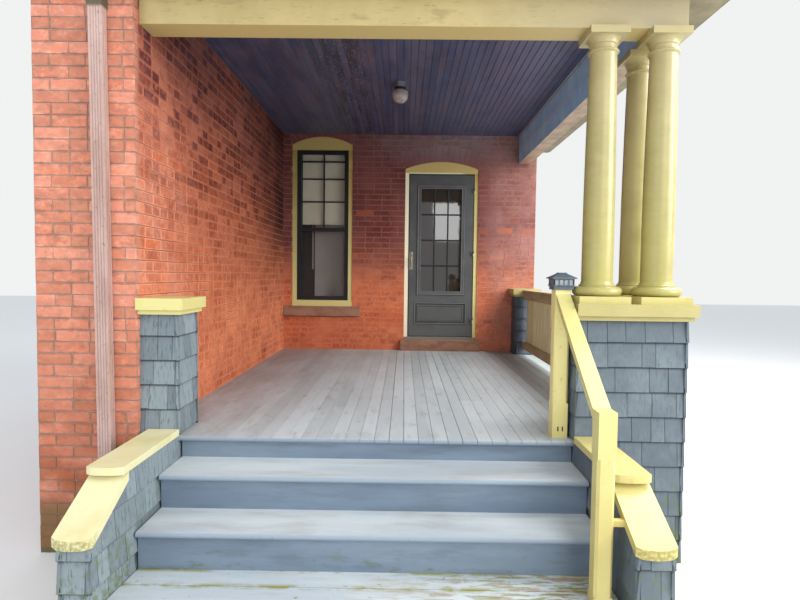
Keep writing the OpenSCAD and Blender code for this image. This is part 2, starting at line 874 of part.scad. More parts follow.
// A round column: plinth, torus, tapered shaft with a slight swelling,
// necking ring, flared capital and square abacus
module column(cx, cy) {
    base_z = pier_h + plinth_h;
    neck_z = beam_z - abacus_h - capital_h;
    foot_z = base_z + torus_h;
    shaft_h = neck_z - foot_z;
    step = fillet_h * 0.4;
    lap = plinth_h / 10;
    swell = [for (i = [0 : 8]) let (t = i / 8)
        [shaft_r1 - (shaft_r1 - shaft_r2) * (t < 0.3 ? 0
            : pow((t - 0.3) / 0.7, 1.4)), foot_z + fillet_h + flare_h
            + t * (shaft_h - fillet_h - flare_h - step)]];
    torus = [for (i = [0 : 8]) let (a = -90 + i * 22.5)
        [torus_r - torus_h / 2 + cos(a) * torus_h / 2,
            base_z + torus_h / 2 + sin(a) * torus_h / 2]];
    ring = [for (i = [0 : 4]) let (a = -90 + i * 45)
        [shaft_r2 + cos(a) * ring_r + ring_r / 5,
            neck_z + ring_r + sin(a) * ring_r]];
    bell = [for (i = [0 : 6]) let (a = i * 15)
        [shaft_r2 + step + (1 - cos(a)) * (abacus_w / 2 - shaft_r2
            - 2 * step), neck_z + capital_h - bell_h + sin(a) * bell_h]];
    color("#cdc378") translate(shift) translate([cx, cy, 0]) union() {
        translate([-plinth_w / 2, -plinth_w / 2, pier_h])
            cube([plinth_w, plinth_w, plinth_h]);
        rotate_extrude($fn = 96) polygon(concat([[0, base_z - lap],
            [torus_r - torus_h, base_z - lap]], torus,
            [[shaft_r1 + fillet_h, foot_z],
            [shaft_r1 + fillet_h, foot_z + fillet_h * 0.6],
            [shaft_r1 + step, foot_z + fillet_h]], swell,
            [[shaft_r2 + ring_r / 5, neck_z]], ring,
            [[shaft_r2, neck_z + 2.1 * ring_r],
            [shaft_r2, neck_z + capital_h - bell_h - step],
            [shaft_r2 + step, neck_z + capital_h - bell_h - step / 3]], bell,
            [[shaft_r2, neck_z + capital_h + lap],
            [0, neck_z + capital_h + lap]]));
        translate([-abacus_w / 2, -abacus_w / 2, beam_z - abacus_h])
            cube([abacus_w, abacus_w, abacus_h]);
    }
}

module column_left() { column(col_x1, col_y); }

module column_right() { column(col_x2, col_y); }

module column_rear() { column(col_x2, col_rear_y); }

// Front beam from the side wall over the front columns
module front_beam() {
    color(paint_yellow) translate(shift)
        translate([0, front_beam_y, beam_z])
            cube([beam_right, front_beam_t, eave_top - beam_z]);
}

// Side beam from the front beam to the back wall
module side_beam() {
    y0 = front_beam_y + front_beam_t;
    color(paint_yellow) translate(shift)
        translate([side_beam_x, y0, beam_z])
            cube([side_beam_t, porch_d - y0, eave_top - beam_z]);
}

// Ceiling boards between the beams and the walls
module ceiling_boards() {
    y0 = front_beam_y + front_beam_t;
    color(ceiling_plum) translate(shift)
        translate([0, y0, ceiling_z])
            cube([side_beam_x, porch_d - y0, ceiling_t]);
}

// Ceiling light: a stepped plate and a round globe
module ceiling_light() {
    r = globe_d / 2;
    color("#cfc9bd") translate(shift)
        translate([light_x, light_y, 0]) union() {
            translate([0, 0, light_z]) cylinder(d1 = light_base_d * 0.76,
                d2 = light_base_d, h = light_base_h, $fn = 64);
            translate([0, 0, light_z - r * 0.86]) sphere(r = r, $fn = 64);
        }
}

// Boxed eaves along the front and the right side, with a crown moulding
module eaves() {
    g = 8;
    h = eave_top - soffit_z;
    side_x = side_beam_x + side_beam_t;
    color(paint_yellow) translate(shift) difference() {
        union() {
            translate([0, eave_front, soffit_z])
                cube([eave_right, -eave_front + wall_back, h]);
            translate([0, eave_front - crown_out, soffit_z + g])
                cube([eave_right + crown_out, wall_back - eave_front
                    + crown_out, h - g]);
        }
        translate([-1, front_beam_y, soffit_z - 1])
            cube([side_x + 1, wall_back, h + 2]);
        translate([side_x - 1, front_beam_y, soffit_z - 1])
            cube([beam_end + 1, front_beam_t, h + 2]);
        translate([side_x - 1, porch_d, soffit_z - 1])
            cube([back_wall_w - side_x + 1, wall_t + 1, h + 2]);
    }
}

// Low hipped roof that leans on both walls
module roof() {
    rx = eave_right + crown_out;
    ry = eave_front - crown_out;
    s = tan(roof_slope);
    top = (wall_back - ry) * s;
    side = (rx + 1) * s;
    color("#5d6268") translate(shift) difference() {
        intersection() {
            side_prism(0, rx, [[ry, eave_top], [ry, eave_top + roof_edge],
                [wall_back, eave_top + roof_edge + top],
                [wall_back, eave_top]]);
            front_prism(ry, wall_back - ry, [[rx, eave_top],
                [rx, eave_top + roof_edge],
                [-1, eave_top + roof_edge + side], [-1, eave_top]]);
        }
        translate([-2, porch_d, eave_top - 1])
            cube([back_wall_w + 2, wall_t + 1, wall_h]);
    }
}

// Side railing: two rails, closely set boards and a flat board on top
module side_railing() {
    y0 = corner_back;
    y1 = rear_pier_y;
    c0 = y0 + cap_over;
    c1 = y1 - cap_over;
    x0 = side_rail_x;
    color("#b5ac7c") translate(shift) union() {
        translate([x0, c0, rail_top - rail_h])
            cube([rail_t, c1 - c0, rail_h]);
        translate([x0, y0, rail_gap]) cube([rail_t, y1 - y0, rail_h]);
        translate([x0 + rail_t, c0, rail_gap])
            cube([rail_board_t, c1 - c0, rail_top - rail_gap]);
        translate([x0 - 15, c0, rail_top])
            cube([rail_cap_w, c1 - c0, rail_cap_t]);
    }
}

// A square post with stop-chamfered corners between z1 and z2
module newel(w, x0, y0, z0, z1, z2, z3) {
    c = newel_chamfer;
    union() {
        translate([x0, y0, z0]) cube([w, w, z1 - z0]);
        translate([x0, y0, z1]) linear_extrude(height = z2 - z1)
            polygon([[c, 0], [w - c, 0], [w, c], [w, w - c], [w - c, w],
                [c, w], [0, w - c], [0, c]]);
        translate([x0, y0, z2]) cube([w, w, z3 - z2]);
    }
}

module upper_newel() {
    color(paint_yellow) translate(shift)
        newel(newel_w, upper_newel_x, upper_newel_y, 0, newel_foot,
            upper_newel_h - newel_head, upper_newel_h);
}

// Lantern on the upper newel: a flared foot, a glazed band and a hipped
// roof with a flat top
module newel_lantern() {
    w = newel_w;
    k = lantern_h / 100;
    cx = upper_newel_x + w / 2;
    cy = upper_newel_y + w / 2;
    z0 = upper_newel_h;
    a = w / 2 + 5;
    b = w / 2 - 1;
    e = lantern_w / 2;
    t = e * 0.66;
    color("#4c5660") translate(shift) translate([cx, cy, z0]) union() {
        translate([-a, -a, 0]) cube([2 * a, 2 * a, 16 * k]);
        translate([-a + 4, -a + 4, 16 * k])
            cube([2 * a - 8, 2 * a - 8, 12 * k]);
        translate([-b, -b, 28 * k]) cube([2 * b, 2 * b, 36 * k]);
        translate([-e, -e, 63 * k]) cube([2 * e, 2 * e, 6 * k]);
        intersection() {
            translate([0, e, 69 * k]) rotate([90, 0, 0])
                linear_extrude(height = 2 * e) polygon([[-e, 0], [e, 0],
                    [t, 31 * k], [-t, 31 * k]]);
            translate([-e, 0, 69 * k]) rotate([90, 0, 90])
                linear_extrude(height = 2 * e) polygon([[-e, 0], [e, 0],
                    [t, 31 * k], [-t, 31 * k]]);
        }
    }
}

// Sloping handrail between the two newels
module handrail() {
    y1 = upper_newel_y;
    y0 = -lower_newel_y + lower_newel_w;
    s = (handrail_z - lower_newel_z) / (y1 - y0);
    dz = handrail_t * sqrt(1 + s * s);
    gap = (newel_w - handrail_w) / 2;
    skew = atan((upper_newel_x + newel_w / 2 - lower_newel_x
        - lower_newel_w / 2) / (y1 - y0));
    color(paint_yellow) translate(shift) intersection() {
        translate([upper_newel_x + gap, y1, 0]) rotate([0, 0, -skew])
            side_prism(0, handrail_w, [[20, handrail_z + 20 * s],
                [20, handrail_z + 20 * s - dz],
                [y0 - y1 - 20, lower_newel_z - 20 * s - dz],
                [y0 - y1 - 20, lower_newel_z - 20 * s]]);
        translate([lower_newel_x - newel_w, y0, -deck_h])
            cube([3 * newel_w, y1 - y0, 2 * deck_h + handrail_z]);
    }
}

// Lower newel on the bottom tread, with the block that ties it to the
// cheek wall's cap
module lower_newel() {
    x1 = lower_newel_x + lower_newel_w - newel_chamfer;
    x2 = right_cheek_x + (cheek_w - cheek_cap_w) / 2;
    y0 = -lower_newel_y;
    color(paint_yellow) translate(shift) union() {
        newel(lower_newel_w, lower_newel_x, y0, tread_z[2],
            tread_z[2] + lower_foot, lower_newel_z - lower_head,
            lower_newel_z);
        translate([x1 - block_w, y0 + newel_chamfer + block_back,
            -block_drop]) cube([x2 - x1 + block_w, block_w, block_w]);
    }
}

back_wall_by_window();
back_wall_right();
back_wall_over_door();
back_wall_under_door();
wing_wall();
downspout();
window_frame();
storm_sash();
window_panes();
window_sill_stone();
door_frame();
door_leaf();
door_panes();
door_handle();
door_step_stone();
porch_deck();
side_skirt();
top_tread();
middle_tread();
bottom_tread();
step_risers();
left_cheek_wall();
left_cheek_caps();
right_cheek_wall();
right_cheek_caps();
left_pier();
left_pier_cap();
corner_pier();
corner_pier_cap();
rear_pier();
rear_pier_cap();
column_left();
column_right();
column_rear();
front_beam();
side_beam();
ceiling_boards();
ceiling_light();
eaves();
roof();
side_railing();
upper_newel();
newel_lantern();
handrail();
lower_newel();
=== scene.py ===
# %% [markdown]
# # Dressing a brick house's front porch
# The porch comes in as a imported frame: walls, deck, steps, piers, columns, beams and roof at their
# real size. This lesson gives every surface its real finish and adds what is too small and too
# many for the frame: bricks, shingles, boards, bars and mouldings. Nothing of the frame is moved.

# %% Load the frame
import math
import random

import bmesh
import bpy
from mathutils import Matrix, Vector


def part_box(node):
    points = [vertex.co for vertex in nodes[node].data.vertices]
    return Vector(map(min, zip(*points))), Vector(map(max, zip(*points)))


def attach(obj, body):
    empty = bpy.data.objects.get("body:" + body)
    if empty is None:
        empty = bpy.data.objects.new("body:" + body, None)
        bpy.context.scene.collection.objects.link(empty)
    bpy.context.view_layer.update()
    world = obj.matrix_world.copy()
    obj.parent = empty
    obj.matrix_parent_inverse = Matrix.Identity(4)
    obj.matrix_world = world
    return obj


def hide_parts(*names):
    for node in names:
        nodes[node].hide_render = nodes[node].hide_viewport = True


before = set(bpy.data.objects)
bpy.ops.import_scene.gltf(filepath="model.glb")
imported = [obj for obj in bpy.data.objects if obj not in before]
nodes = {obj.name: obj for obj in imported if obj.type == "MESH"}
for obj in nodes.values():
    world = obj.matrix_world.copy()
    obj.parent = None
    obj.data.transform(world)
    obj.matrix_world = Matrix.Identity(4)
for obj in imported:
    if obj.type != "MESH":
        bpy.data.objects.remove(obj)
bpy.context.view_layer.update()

# %% [markdown]
# ## Measuring from one corner
# A mason measures a porch from the corner where the side wall, the front of the wing and the
# deck's top meet. All places below are millimetres from that corner: x to the right, y into the
# porch, z up. The corner itself is read from the frame, so the pieces follow it if it changes.

# %% The corner and the spans of the frame's nodes
corner = Vector((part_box("back_wall_by_window")[0][0],
                 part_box("wing_wall")[0][1],
                 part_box("porch_deck")[1][2]))


def at(x, y, z):
    """The scene's point, in metres, for a place in millimetres from the corner."""
    return corner + Vector((x, y, z)) / 1000


def span(name):
    """A node's lowest and highest corner, in millimetres from the corner."""
    return [(Vector(end) - corner) * 1000 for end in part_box(name)]


deck_low, deck_high = span("porch_deck")
back_y = span("back_wall_right")[0].y
ground_z = span("wing_wall")[0].z
print("deck", deck_low, deck_high, "back wall at", back_y, "ground at", ground_z)

# %% [markdown]
# ## The camera
# The photograph was taken standing in front of the steps, a little left of the porch's middle,
# with a short lens. Its place, turn and tilt were worked out from the porch's level, upright and
# receding edges, and are kept as real distances and angles.

# %% Camera
camera = bpy.data.objects.new("camera", bpy.data.cameras.new("camera"))
bpy.context.collection.objects.link(camera)
camera.data.sensor_width = 36
camera.data.lens = 24.18
turn, tilt, roll = math.radians(0.39), math.radians(2.64), math.radians(0.71)
camera.matrix_world = (Matrix.Translation(at(1519, -3037, 945))
                       @ Matrix.Rotation(turn, 4, "Z")
                       @ Matrix.Rotation(math.pi / 2 - tilt, 4, "X")
                       @ Matrix.Rotation(roll, 4, "Z"))
bpy.context.scene.camera = camera
print("camera at", tuple(camera.matrix_world.translation))

# %% [markdown]
# ## Soft light, a pale floor and a pale sky
# The day was overcast: light comes from the whole sky, the porch's inside is dim, and no shadow
# has a hard edge. A pale world gives that. Large soft lamps stand for the parts of the sky that
# were brighter: the open side on the right lights the brick wall most, and weak ones in front,
# overhead and on the left keep the steps and the ceiling from going black. The camera, gloss and
# glass see a plain pale background.

# %% Colours, nodes and the world
def linear(colour):
    """A colour written as sRGB hex, as the linear values that shaders work in."""
    parts = [int(colour[i:i + 2], 16) / 255 for i in (0, 2, 4)]
    return tuple(c / 12.92 if c <= 0.04045 else ((c + 0.055) / 1.055) ** 2.4
                 for c in parts) + (1.0,)


def node(tree, kind, inputs={}, **settings):
    """Adds a shader node: settings are its properties, inputs are values or sockets to link."""
    made = tree.nodes.new(kind)
    for name, value in settings.items():
        setattr(made, name, value)
    for name, value in inputs.items():
        if isinstance(value, bpy.types.NodeSocket):
            tree.links.new(value, made.inputs[name])
        else:
            made.inputs[name].default_value = value
    return made


bpy.context.scene.view_settings.view_transform = "Standard"
world = bpy.data.worlds.new("overcast sky")
bpy.context.scene.world = world
world.use_nodes = True
sky = world.node_tree
sky.nodes.clear()
rays = node(sky, "ShaderNodeLightPath")
seen = node(sky, "ShaderNodeMath", {0: rays.outputs["Is Camera Ray"],
                                    1: rays.outputs["Is Glossy Ray"]}, operation="MAXIMUM")
seen = node(sky, "ShaderNodeMath", {0: seen.outputs[0],
                                    1: rays.outputs["Is Transmission Ray"]}, operation="MAXIMUM")
daylight = node(sky, "ShaderNodeBackground", {"Color": linear("e6ecf5"), "Strength": 1.1})
backdrop = node(sky, "ShaderNodeBackground", {"Color": linear("f1f2f2"), "Strength": 1.0})
both = node(sky, "ShaderNodeMixShader", {0: seen.outputs[0], 1: daylight.outputs[0],
                                         2: backdrop.outputs[0]})
node(sky, "ShaderNodeOutputWorld", {0: both.outputs[0]})
print("the world is", world.name)

# %% Lamps and floor
for name, place, aim, size, power in (
        ("sky in front", (3900, -7500, 3600), (1500, 1200, 900), 3, 130),
        ("sky on the right", (9500, -3000, 4000), (0, 1600, 400), 5, 785),
        ("sky overhead", (1200, -3500, 7500), (1200, -500, 0), 4, 114),
        ("sky on the left", (-3500, -6500, 2600), (2900, 1500, 1000), 4, 80),
        ("sky over the railing", (7500, 1800, 5600), (1800, 1800, 300), 3, 330),
        ("sky over the eaves", (6000, 1500, 6500), (2300, 1200, 0), 2, 380)):
    lamp = bpy.data.objects.new(name, bpy.data.lights.new(name, "AREA"))
    bpy.context.collection.objects.link(lamp)
    lamp.data.size = size
    lamp.data.energy = power
    facing = (at(*aim) - at(*place)).to_track_quat("-Z", "Y")
    lamp.matrix_world = Matrix.Translation(at(*place)) @ facing.to_matrix().to_4x4()

floor_mesh = bmesh.new()
bmesh.ops.create_grid(floor_mesh, x_segments=1, y_segments=1, size=30)
floor = bpy.data.objects.new("floor", bpy.data.meshes.new("floor"))
floor_mesh.to_mesh(floor.data)
floor_mesh.free()
bpy.context.collection.objects.link(floor)
pale = bpy.data.materials.new("pale studio floor")
pale.use_nodes = True
pale.node_tree.nodes["Principled BSDF"].inputs["Base Color"].default_value = linear("dededb")
pale.node_tree.nodes["Principled BSDF"].inputs["Roughness"].default_value = 0.8
floor.data.materials.append(pale)
print("lamps and floor are set")

# %% [markdown]
# ## How the finishes are made
# Every finish starts from one real surface, lays rows of wear, dirt or growth over it, and gets a
# fine relief. A row is a colour, where it lies, and how it is broken into patches: their size in
# mm, so the pattern has its real scale, the level (half the surface at 0.5, spots at 0.65), the
# softness of their edge, their strength and a seed. Without a size the colour covers its place
# evenly. Where it lies is a dict, such as z from -120 to -500 for moss near the ground. Each
# brick, board or shingle also carries a number of its own, its tone, for the differences between
# neighbours.

# %% Where a layer lies
def fade(tree, measure, begin, end, low=0.0, high=1.0):
    """Gives `low` where a measure is `begin`, changing to `high` where it is `end`. A measure is
    a socket, x, y or z in mm from the corner, to_x, to_y or to_z for the way a surface faces, or
    "tone"."""
    place = tree.nodes["place"].outputs
    if measure == "tone":
        measure = node(tree, "ShaderNodeAttribute", attribute_name="tone").outputs["Fac"]
    elif isinstance(measure, str):
        axis = "xyz".index(measure[-1])
        faces = measure.startswith("to_")
        if not faces:
            begin, end = (corner[axis] + mm / 1000 for mm in (begin, end))
        measure = node(tree, "ShaderNodeSeparateXYZ",
                       {0: place["Normal" if faces else "Object"]}).outputs[axis]
    return node(tree, "ShaderNodeMapRange", {"Value": measure, "From Min": begin, "From Max": end,
                                             "To Min": low, "To Max": high}).outputs[0]


def mask(tree, where):
    """A mask: every part of a dict or a list has to hold, or any one part of a tuple."""
    if isinstance(where, bpy.types.NodeSocket):
        return where
    if isinstance(where, dict):
        masks = [fade(tree, measure, *ends) for measure, ends in where.items()]
    else:
        masks = [mask(tree, part) for part in where]
    joined = masks[0]
    for part in masks[1:]:
        joined = node(tree, "ShaderNodeMath", {0: joined, 1: part},
                      operation="MAXIMUM" if isinstance(where, tuple) else "MULTIPLY").outputs[0]
    return joined


def blots(tree, size, seed=0, stretch=(1, 1, 1), detail=5.0):
    """Soft blots, about `size` mm from one to the next, drawn out by `stretch` along x, y, z."""
    scaled = node(tree, "ShaderNodeMapping",
                  {"Vector": tree.nodes["place"].outputs["Object"],
                   "Location": (seed * 3.7, seed * 1.3, seed * 2.1),
                   "Scale": tuple(1000 / size / s for s in stretch)})
    return node(tree, "ShaderNodeTexNoise",
                {"Vector": scaled.outputs[0], "Scale": 1.0, "Detail": detail,
                 "Roughness": 0.62}).outputs["Fac"]


print("layers are measured from", tuple(corner))


# %% How a finish is put together
def cover(tree, under, tint, where=None, size=None, level=0.5, edge=0.05, strength=1.0, seed=0,
          stretch=(1, 1, 1), detail=5.0, blend="MIX"):
    """Lays one row over a colour: a tint, in patches where a size is given."""
    masks = [] if where is None else [where]
    if size:
        masks.append(fade(tree, blots(tree, size, seed, stretch, detail), level - edge,
                          level + edge, 0.0, strength))
    return node(tree, "ShaderNodeMix",
                {0: mask(tree, masks), 6: under,
                 7: linear(tint) if isinstance(tint, str) else tint},
                data_type="RGBA", blend_type=blend).outputs[2]


def lay(tree, base, rows):
    """Lays rows over a base: a socket, one colour, or two that each block's own tone mixes."""
    colour = linear(base) if isinstance(base, str) else base
    if isinstance(base, tuple):
        tone = node(tree, "ShaderNodeAttribute", attribute_name="tone").outputs["Fac"]
        colour = cover(tree, linear(base[0]), base[1], tone)
    for row in rows:
        colour = cover(tree, colour, *row)
    return colour


def start(name, roughness, also={}):
    """A new material with its roughness and other sockets set, and the place its layers use."""
    material = bpy.data.materials.new(name)
    material.use_nodes = True
    shader = material.node_tree.nodes["Principled BSDF"]
    for socket, value in {"Roughness": roughness, **also}.items():
        shader.inputs[socket].default_value = value
    node(material.node_tree, "ShaderNodeTexCoord", name="place")
    return material


def finish(material, base, rows, bumps=()):
    """Lays the rows on a started material, and a fine relief from (size, depth in mm, stretch)."""
    tree = material.node_tree
    shader = tree.nodes["Principled BSDF"]
    tree.links.new(lay(tree, base, rows), shader.inputs["Base Color"])
    normal = None
    for seed, (size, depth, stretch) in enumerate(bumps, start=11):
        inputs = {"Height": blots(tree, size, seed, stretch), "Distance": depth / 1000,
                  "Strength": 1.0}
        if normal is not None:
            inputs["Normal"] = normal
        normal = node(tree, "ShaderNodeBump", inputs).outputs[0]
    if normal is not None:
        tree.links.new(normal, shader.inputs["Normal"])
    return material


def dress(names, material):
    """Gives a frame node, or several, a finish in place of its plain colour."""
    for name in names.split():
        slots = nodes[name].data.materials
        slots.clear()
        slots.append(material)


print("ready to make finishes from rows")

# %% [markdown]
# ## How the pieces are made
# Most of a porch is boards, bricks and shingles: blocks with softened edges. Each piece starts as
# an empty bmesh with a tone layer, gets its blocks from create_cube, is trimmed with bisect_plane
# where the real one is sawn, and has its edges eased with bevel. Then it becomes one object that
# rides on the porch or on the door.

# %% Helpers for the pieces
def empty_mesh():
    """An empty bmesh that keeps a tone for each face."""
    bm = bmesh.new()
    bm.faces.layers.float.new("tone")
    return bm


def block(bm, low, high, tone=0.5):
    """A box from its lowest to its highest corner, in mm from the inner corner."""
    low, high = at(*low), at(*high)
    matrix = Matrix.Translation((low + high) / 2) @ Matrix.Diagonal((*(high - low), 1))
    return toned(bm, bmesh.ops.create_cube(bm, size=1, matrix=matrix)["verts"], tone)


def slab(bm, centre, along, out, size, tone=0.5):
    """A box of size (long, thick, high) in mm, centred at a point and turned by two directions."""
    along, out = Vector(along).normalized(), Vector(out).normalized()
    turned = Matrix((along, out, along.cross(out))).transposed().to_4x4()
    matrix = (Matrix.Translation(at(*centre)) @ turned
              @ Matrix.Diagonal((*(Vector(size) / 1000), 1)))
    return toned(bm, bmesh.ops.create_cube(bm, size=1, matrix=matrix)["verts"], tone)


def toned(bm, verts, tone):
    """Writes the tone on the faces of some vertices and gives the vertices back."""
    layer = bm.faces.layers.float["tone"]
    for face in {face for vert in verts for face in vert.link_faces}:
        face[layer] = tone
    return verts


def ease(bm, width, edges=None, segments=1):
    """Softens edges by a bevel of `width` mm."""
    bmesh.ops.bevel(bm, geom=edges if edges is not None else bm.edges[:], offset=width / 1000,
                    affect="EDGES", segments=segments, profile=0.5, material=-1,
                    clamp_overlap=True)


def saw(bm, point, normal):
    """Saws off what is beyond a plane and closes the cut."""
    cut = bmesh.ops.bisect_plane(bm, geom=bm.verts[:] + bm.edges[:] + bm.faces[:],
                                 plane_co=at(*point), plane_no=normal, clear_outer=True)
    edges = [part for part in cut["geom_cut"] if isinstance(part, bmesh.types.BMEdge)]
    bmesh.ops.holes_fill(bm, edges=edges, sides=0)


def piece(name, bm, materials, slot, body="porch", replaces=()):
    """Makes the bmesh one object that rides on a body and may stand for frame nodes."""
    # faces can come out in another order at each run, and this keeps their order the same
    bm.verts.index_update()
    bm.faces.sort(key=lambda face: sum(vert.index ** 3 for vert in face.verts))
    mesh = bpy.data.meshes.new(name)
    bm.to_mesh(mesh)
    bm.free()
    made = bpy.data.objects.new(name, mesh)
    bpy.context.collection.objects.link(made)
    for material in materials:
        mesh.materials.append(material)
    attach(made, body)
    if replaces:
        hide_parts(*replaces)
    print(name, "has", sum(len(face.vertices) - 2 for face in mesh.polygons), "triangles")


def boxes(name, material, slot, blocks, width=0.0, segments=1, **how):
    """One piece from blocks, each (low, high) or (low, high, tone), eased by `width` mm."""
    bm = empty_mesh()
    for low, high, *tone in blocks:
        block(bm, low, high, *tone)
    if width:
        ease(bm, width, segments=segments)
    piece(name, bm, [material], slot, **how)


UP = Vector((0, 0, 1))
RIGHT = Vector((1, 0, 0))
INTO = Vector((0, 1, 0))
print("ready to make pieces: up is", UP, "right is", RIGHT, "into the porch is", INTO)

# %% [markdown]
# ## Fired bricks and lime mortar
# The walls are pressed red bricks, laid in stretchers with thin joints of lime mortar. Fired clay
# is matt, and each brick has its own red. Rain washed the bricks' edges pale and left their
# middles bare, and damp browns the wing's foot. Painted shade darkens the upper walls, the far
# side wall and the back wall above a metre, greys the back wall under the ceiling and darkens the
# end that faces right. Painted light brightens the lower walls, the side wall's near end, the back
# wall's red foot and its pale right part. The mortar is set back a few millimetres, so each course
# draws a line of shadow. The frame's wall is the mortar, and the bricks stand on it. Each wall face
# has its own rows, because rain and the painted light and shade differ from face to face.

# %% Brick
REAR = {"y": (back_y - 60, back_y - 8)}
FRONT = {"y": (60, -2)}


def fired_brick():
    """Pressed brick: matt fired clay, orange-red; some bricks are flashed purple, others sooty."""
    material = start("fired clay brick", 0.9, {"Specular IOR Level": 0.2})
    tree = material.node_tree
    worn = node(tree, "ShaderNodeAttribute", attribute_name="worn").outputs["Fac"]
    ragged = node(tree, "ShaderNodeMath", {0: blots(tree, 28, 20, detail=3.0), 1: 2.0, 2: worn},
                  operation="MULTIPLY_ADD").outputs[0]
    bare = fade(tree, ragged, 1.55, 2.0)
    washed = mask(tree, [fade(tree, blots(tree, 260, 21), 0.36, 0.66, 0.15),
                         fade(tree, mask(tree, FRONT), 0.0, 1.0, 0.9, 0.0), bare])
    streaked = mask(tree, [fade(tree, blots(tree, 80, 22), 0.42, 0.62),
                           fade(tree, bare, 0.0, 1.0, 0.7, 0.0), FRONT])
    rows = [
        # burnt and pale blots, dark header middles, painted shade high up and deep in the porch
        ("d08660", None, 45, 0.6, 0.1, 0.6, 1),
        ("7c3524", None, 60, 0.6, 0.08, 0.6, 2),
        ("4f2828", [{"tone": (0.5, 0.3)}, ({"z": (700, 2100)}, {"y": (2300, 3400)}), bare],
         150, 0.38, 0.14, 0.85, 3),
        ("4b3540", {"z": (1500, 2650)}, 900, 0.34, 0.2, 0.8, 4),
        ("4a1f20", {"y": (2000, 3500), "z": (500, 1500)}, 700, 0.28, 0.2, 1.0, 8),
        # painted light on the lower walls, which the deck lights, and on the end near the steps
        ("ef9468", {"z": (1600, 600)}, 260, 0.42, 0.2, 0.8, 16),
        ("e0a088", {"y": (1100, 200), "z": (2200, 1500)}, 200, 0.48, 0.16, 0.6, 17),
        # the back wall: painted shade above a metre and grey painted shade under the ceiling,
        # painted light on its red foot and pale right part, painted shade on the end facing right
        ("875350", {"z": (800, 1350), **REAR}, 500, 0.34, 0.16, 0.75, 9),
        ("968a8e", [{"z": (2250, 2600), "x": (700, 1900), **REAR}, {"z": (2760, 2700)}],
         200, 0.34, 0.25, 0.85, 15),
        ("d0704e", {"z": (1100, 500), "x": (2850, 2700), **REAR}, 260, 0.5, 0.2, 0.8, 13),
        ("b38a82", {"x": (2420, 2700), **REAR}, 300, 0.42, 0.25, 0.6, 10),
        ("8f5443", {"to_x": (0.6, 0.9), "x": (2600, 2700)}, 700, 0.26, 0.2, 0.75, 18),
        # the wing's front: faded, with pink and dull bricks, dirt in streaks and a brown foot
        ("c6866f", FRONT, 300, 0.36, 0.14, 0.8, 5),
        ("e6ab94", FRONT, 30, 0.56, 0.12, 0.7, 6, (1.4, 1, 1), 2.0),
        ("9a7669", FRONT, 44, 0.56, 0.1, 0.8, 7, (1.6, 1, 1), 3.0),
        ("edb09c", {"tone": (0.7, 0.78, 0.0, 0.3), **FRONT}),
        ("a67f6c", {"tone": (0.5, 0.42, 0.0, 0.45), **FRONT}),
        ("78482f", {"z": (900, -300), **FRONT}, 160, 0.42, 0.16, 0.9, 14, (2, 1, 1)),
        ("8f6553", streaked),
        ("d9714a", [fade(tree, bare, 0.0, 1.0, 0.0, 0.35), FRONT]),
        ("7a6343", {"z": (-350, -430)}, 90, 0.3, 0.16, 0.85, 12),
    ]
    colour = cover(tree, lay(tree, ("bb5e40", "db8362"), rows), "c9ada4", washed,
                   blend="MULTIPLY")
    fresh = [{"tone": (0.93, 0.96, 0.0, 0.9), "z": (2200, 1500)}, washed]
    return finish(material, colour, [("c5663a", fresh)],
                  [(9, 0.5, (1, 1, 1)), (45, 2.0, (1, 1, 1))])


brick_clay = fired_brick()
print("made", brick_clay.name)


# %% Mortar
def lime_mortar():
    """Lime mortar, pinkish tan and sandy; far sides of the walls show bricks flush with it."""
    material = start("lime mortar with flush brickwork", 0.92)
    tree = material.node_tree
    place = tree.nodes["place"].outputs
    parts = node(tree, "ShaderNodeSeparateXYZ", {0: place["Object"]}).outputs
    faces = node(tree, "ShaderNodeSeparateXYZ", {0: place["Normal"]}).outputs
    sideways = node(tree, "ShaderNodeMath", {0: faces[0], 1: 0.0}, operation="ABSOLUTE").outputs[0]
    along = node(tree, "ShaderNodeMix", {0: sideways, 2: parts[0], 3: parts[1]}).outputs[0]
    wall = node(tree, "ShaderNodeCombineXYZ", {0: along, 1: parts[2]}).outputs[0]
    flush = node(tree, "ShaderNodeTexBrick",
                 {"Vector": wall, "Color1": linear("a04a34"), "Color2": linear("b7573d"),
                  "Mortar": linear("a98270"), "Scale": 1.0, "Mortar Size": 0.003,
                  "Mortar Smooth": 0.1, "Brick Width": 0.205, "Row Height": 0.067},
                 offset=0.5).outputs["Color"]
    return finish(material, "c79a84", [
        ("9a7464", None, 120, 0.5, 0.1),
        # darker joints low down and near the front: painted shade in the recessed joints
        ("8f6252", {"z": (1500, 900)}, 400, 0.4, 0.15, 0.8, 7),
        ("7d584a", {"y": (1300, 500)}, 300, 0.4, 0.15, 0.8, 8),
        ("6a4741", {"z": (1400, 2500)}, 600, 0.45, 0.15, 0.8, 2),
        ("96604f", REAR, 600, 0.38, 0.15, 0.8, 5),
        ("b28b79", FRONT, 200, 0.38, 0.15, 0.85, 6),
        ("55593c", {"z": (-350, -640)}, 90, 0.45, 0.1, 0.9, 3),
        (flush, ({"x": (-300, -309), "y": (8, 18)}, {"y": (back_y + 300, back_y + 309)})),
    ], [(4, 0.4, (1, 1, 1)), (30, 1.0, (1, 1, 1))])


dress("back_wall_by_window back_wall_right back_wall_over_door back_wall_under_door wing_wall",
      lime_mortar())
print("walls dressed with mortar")

# %% [markdown]
# ## Laying the bricks
# Courses rise 67 mm, a 62 mm brick and a 5 mm joint, and a stretcher with its joint is 205 mm
# long. Every second course is shifted by half a brick. Where a window or door stands, the course
# is cut. Over each opening the mason turned an arch of bricks on end, whose ends follow the head's
# curve. The bricks are laid by a loop, course by course, and only their front edges are eased.

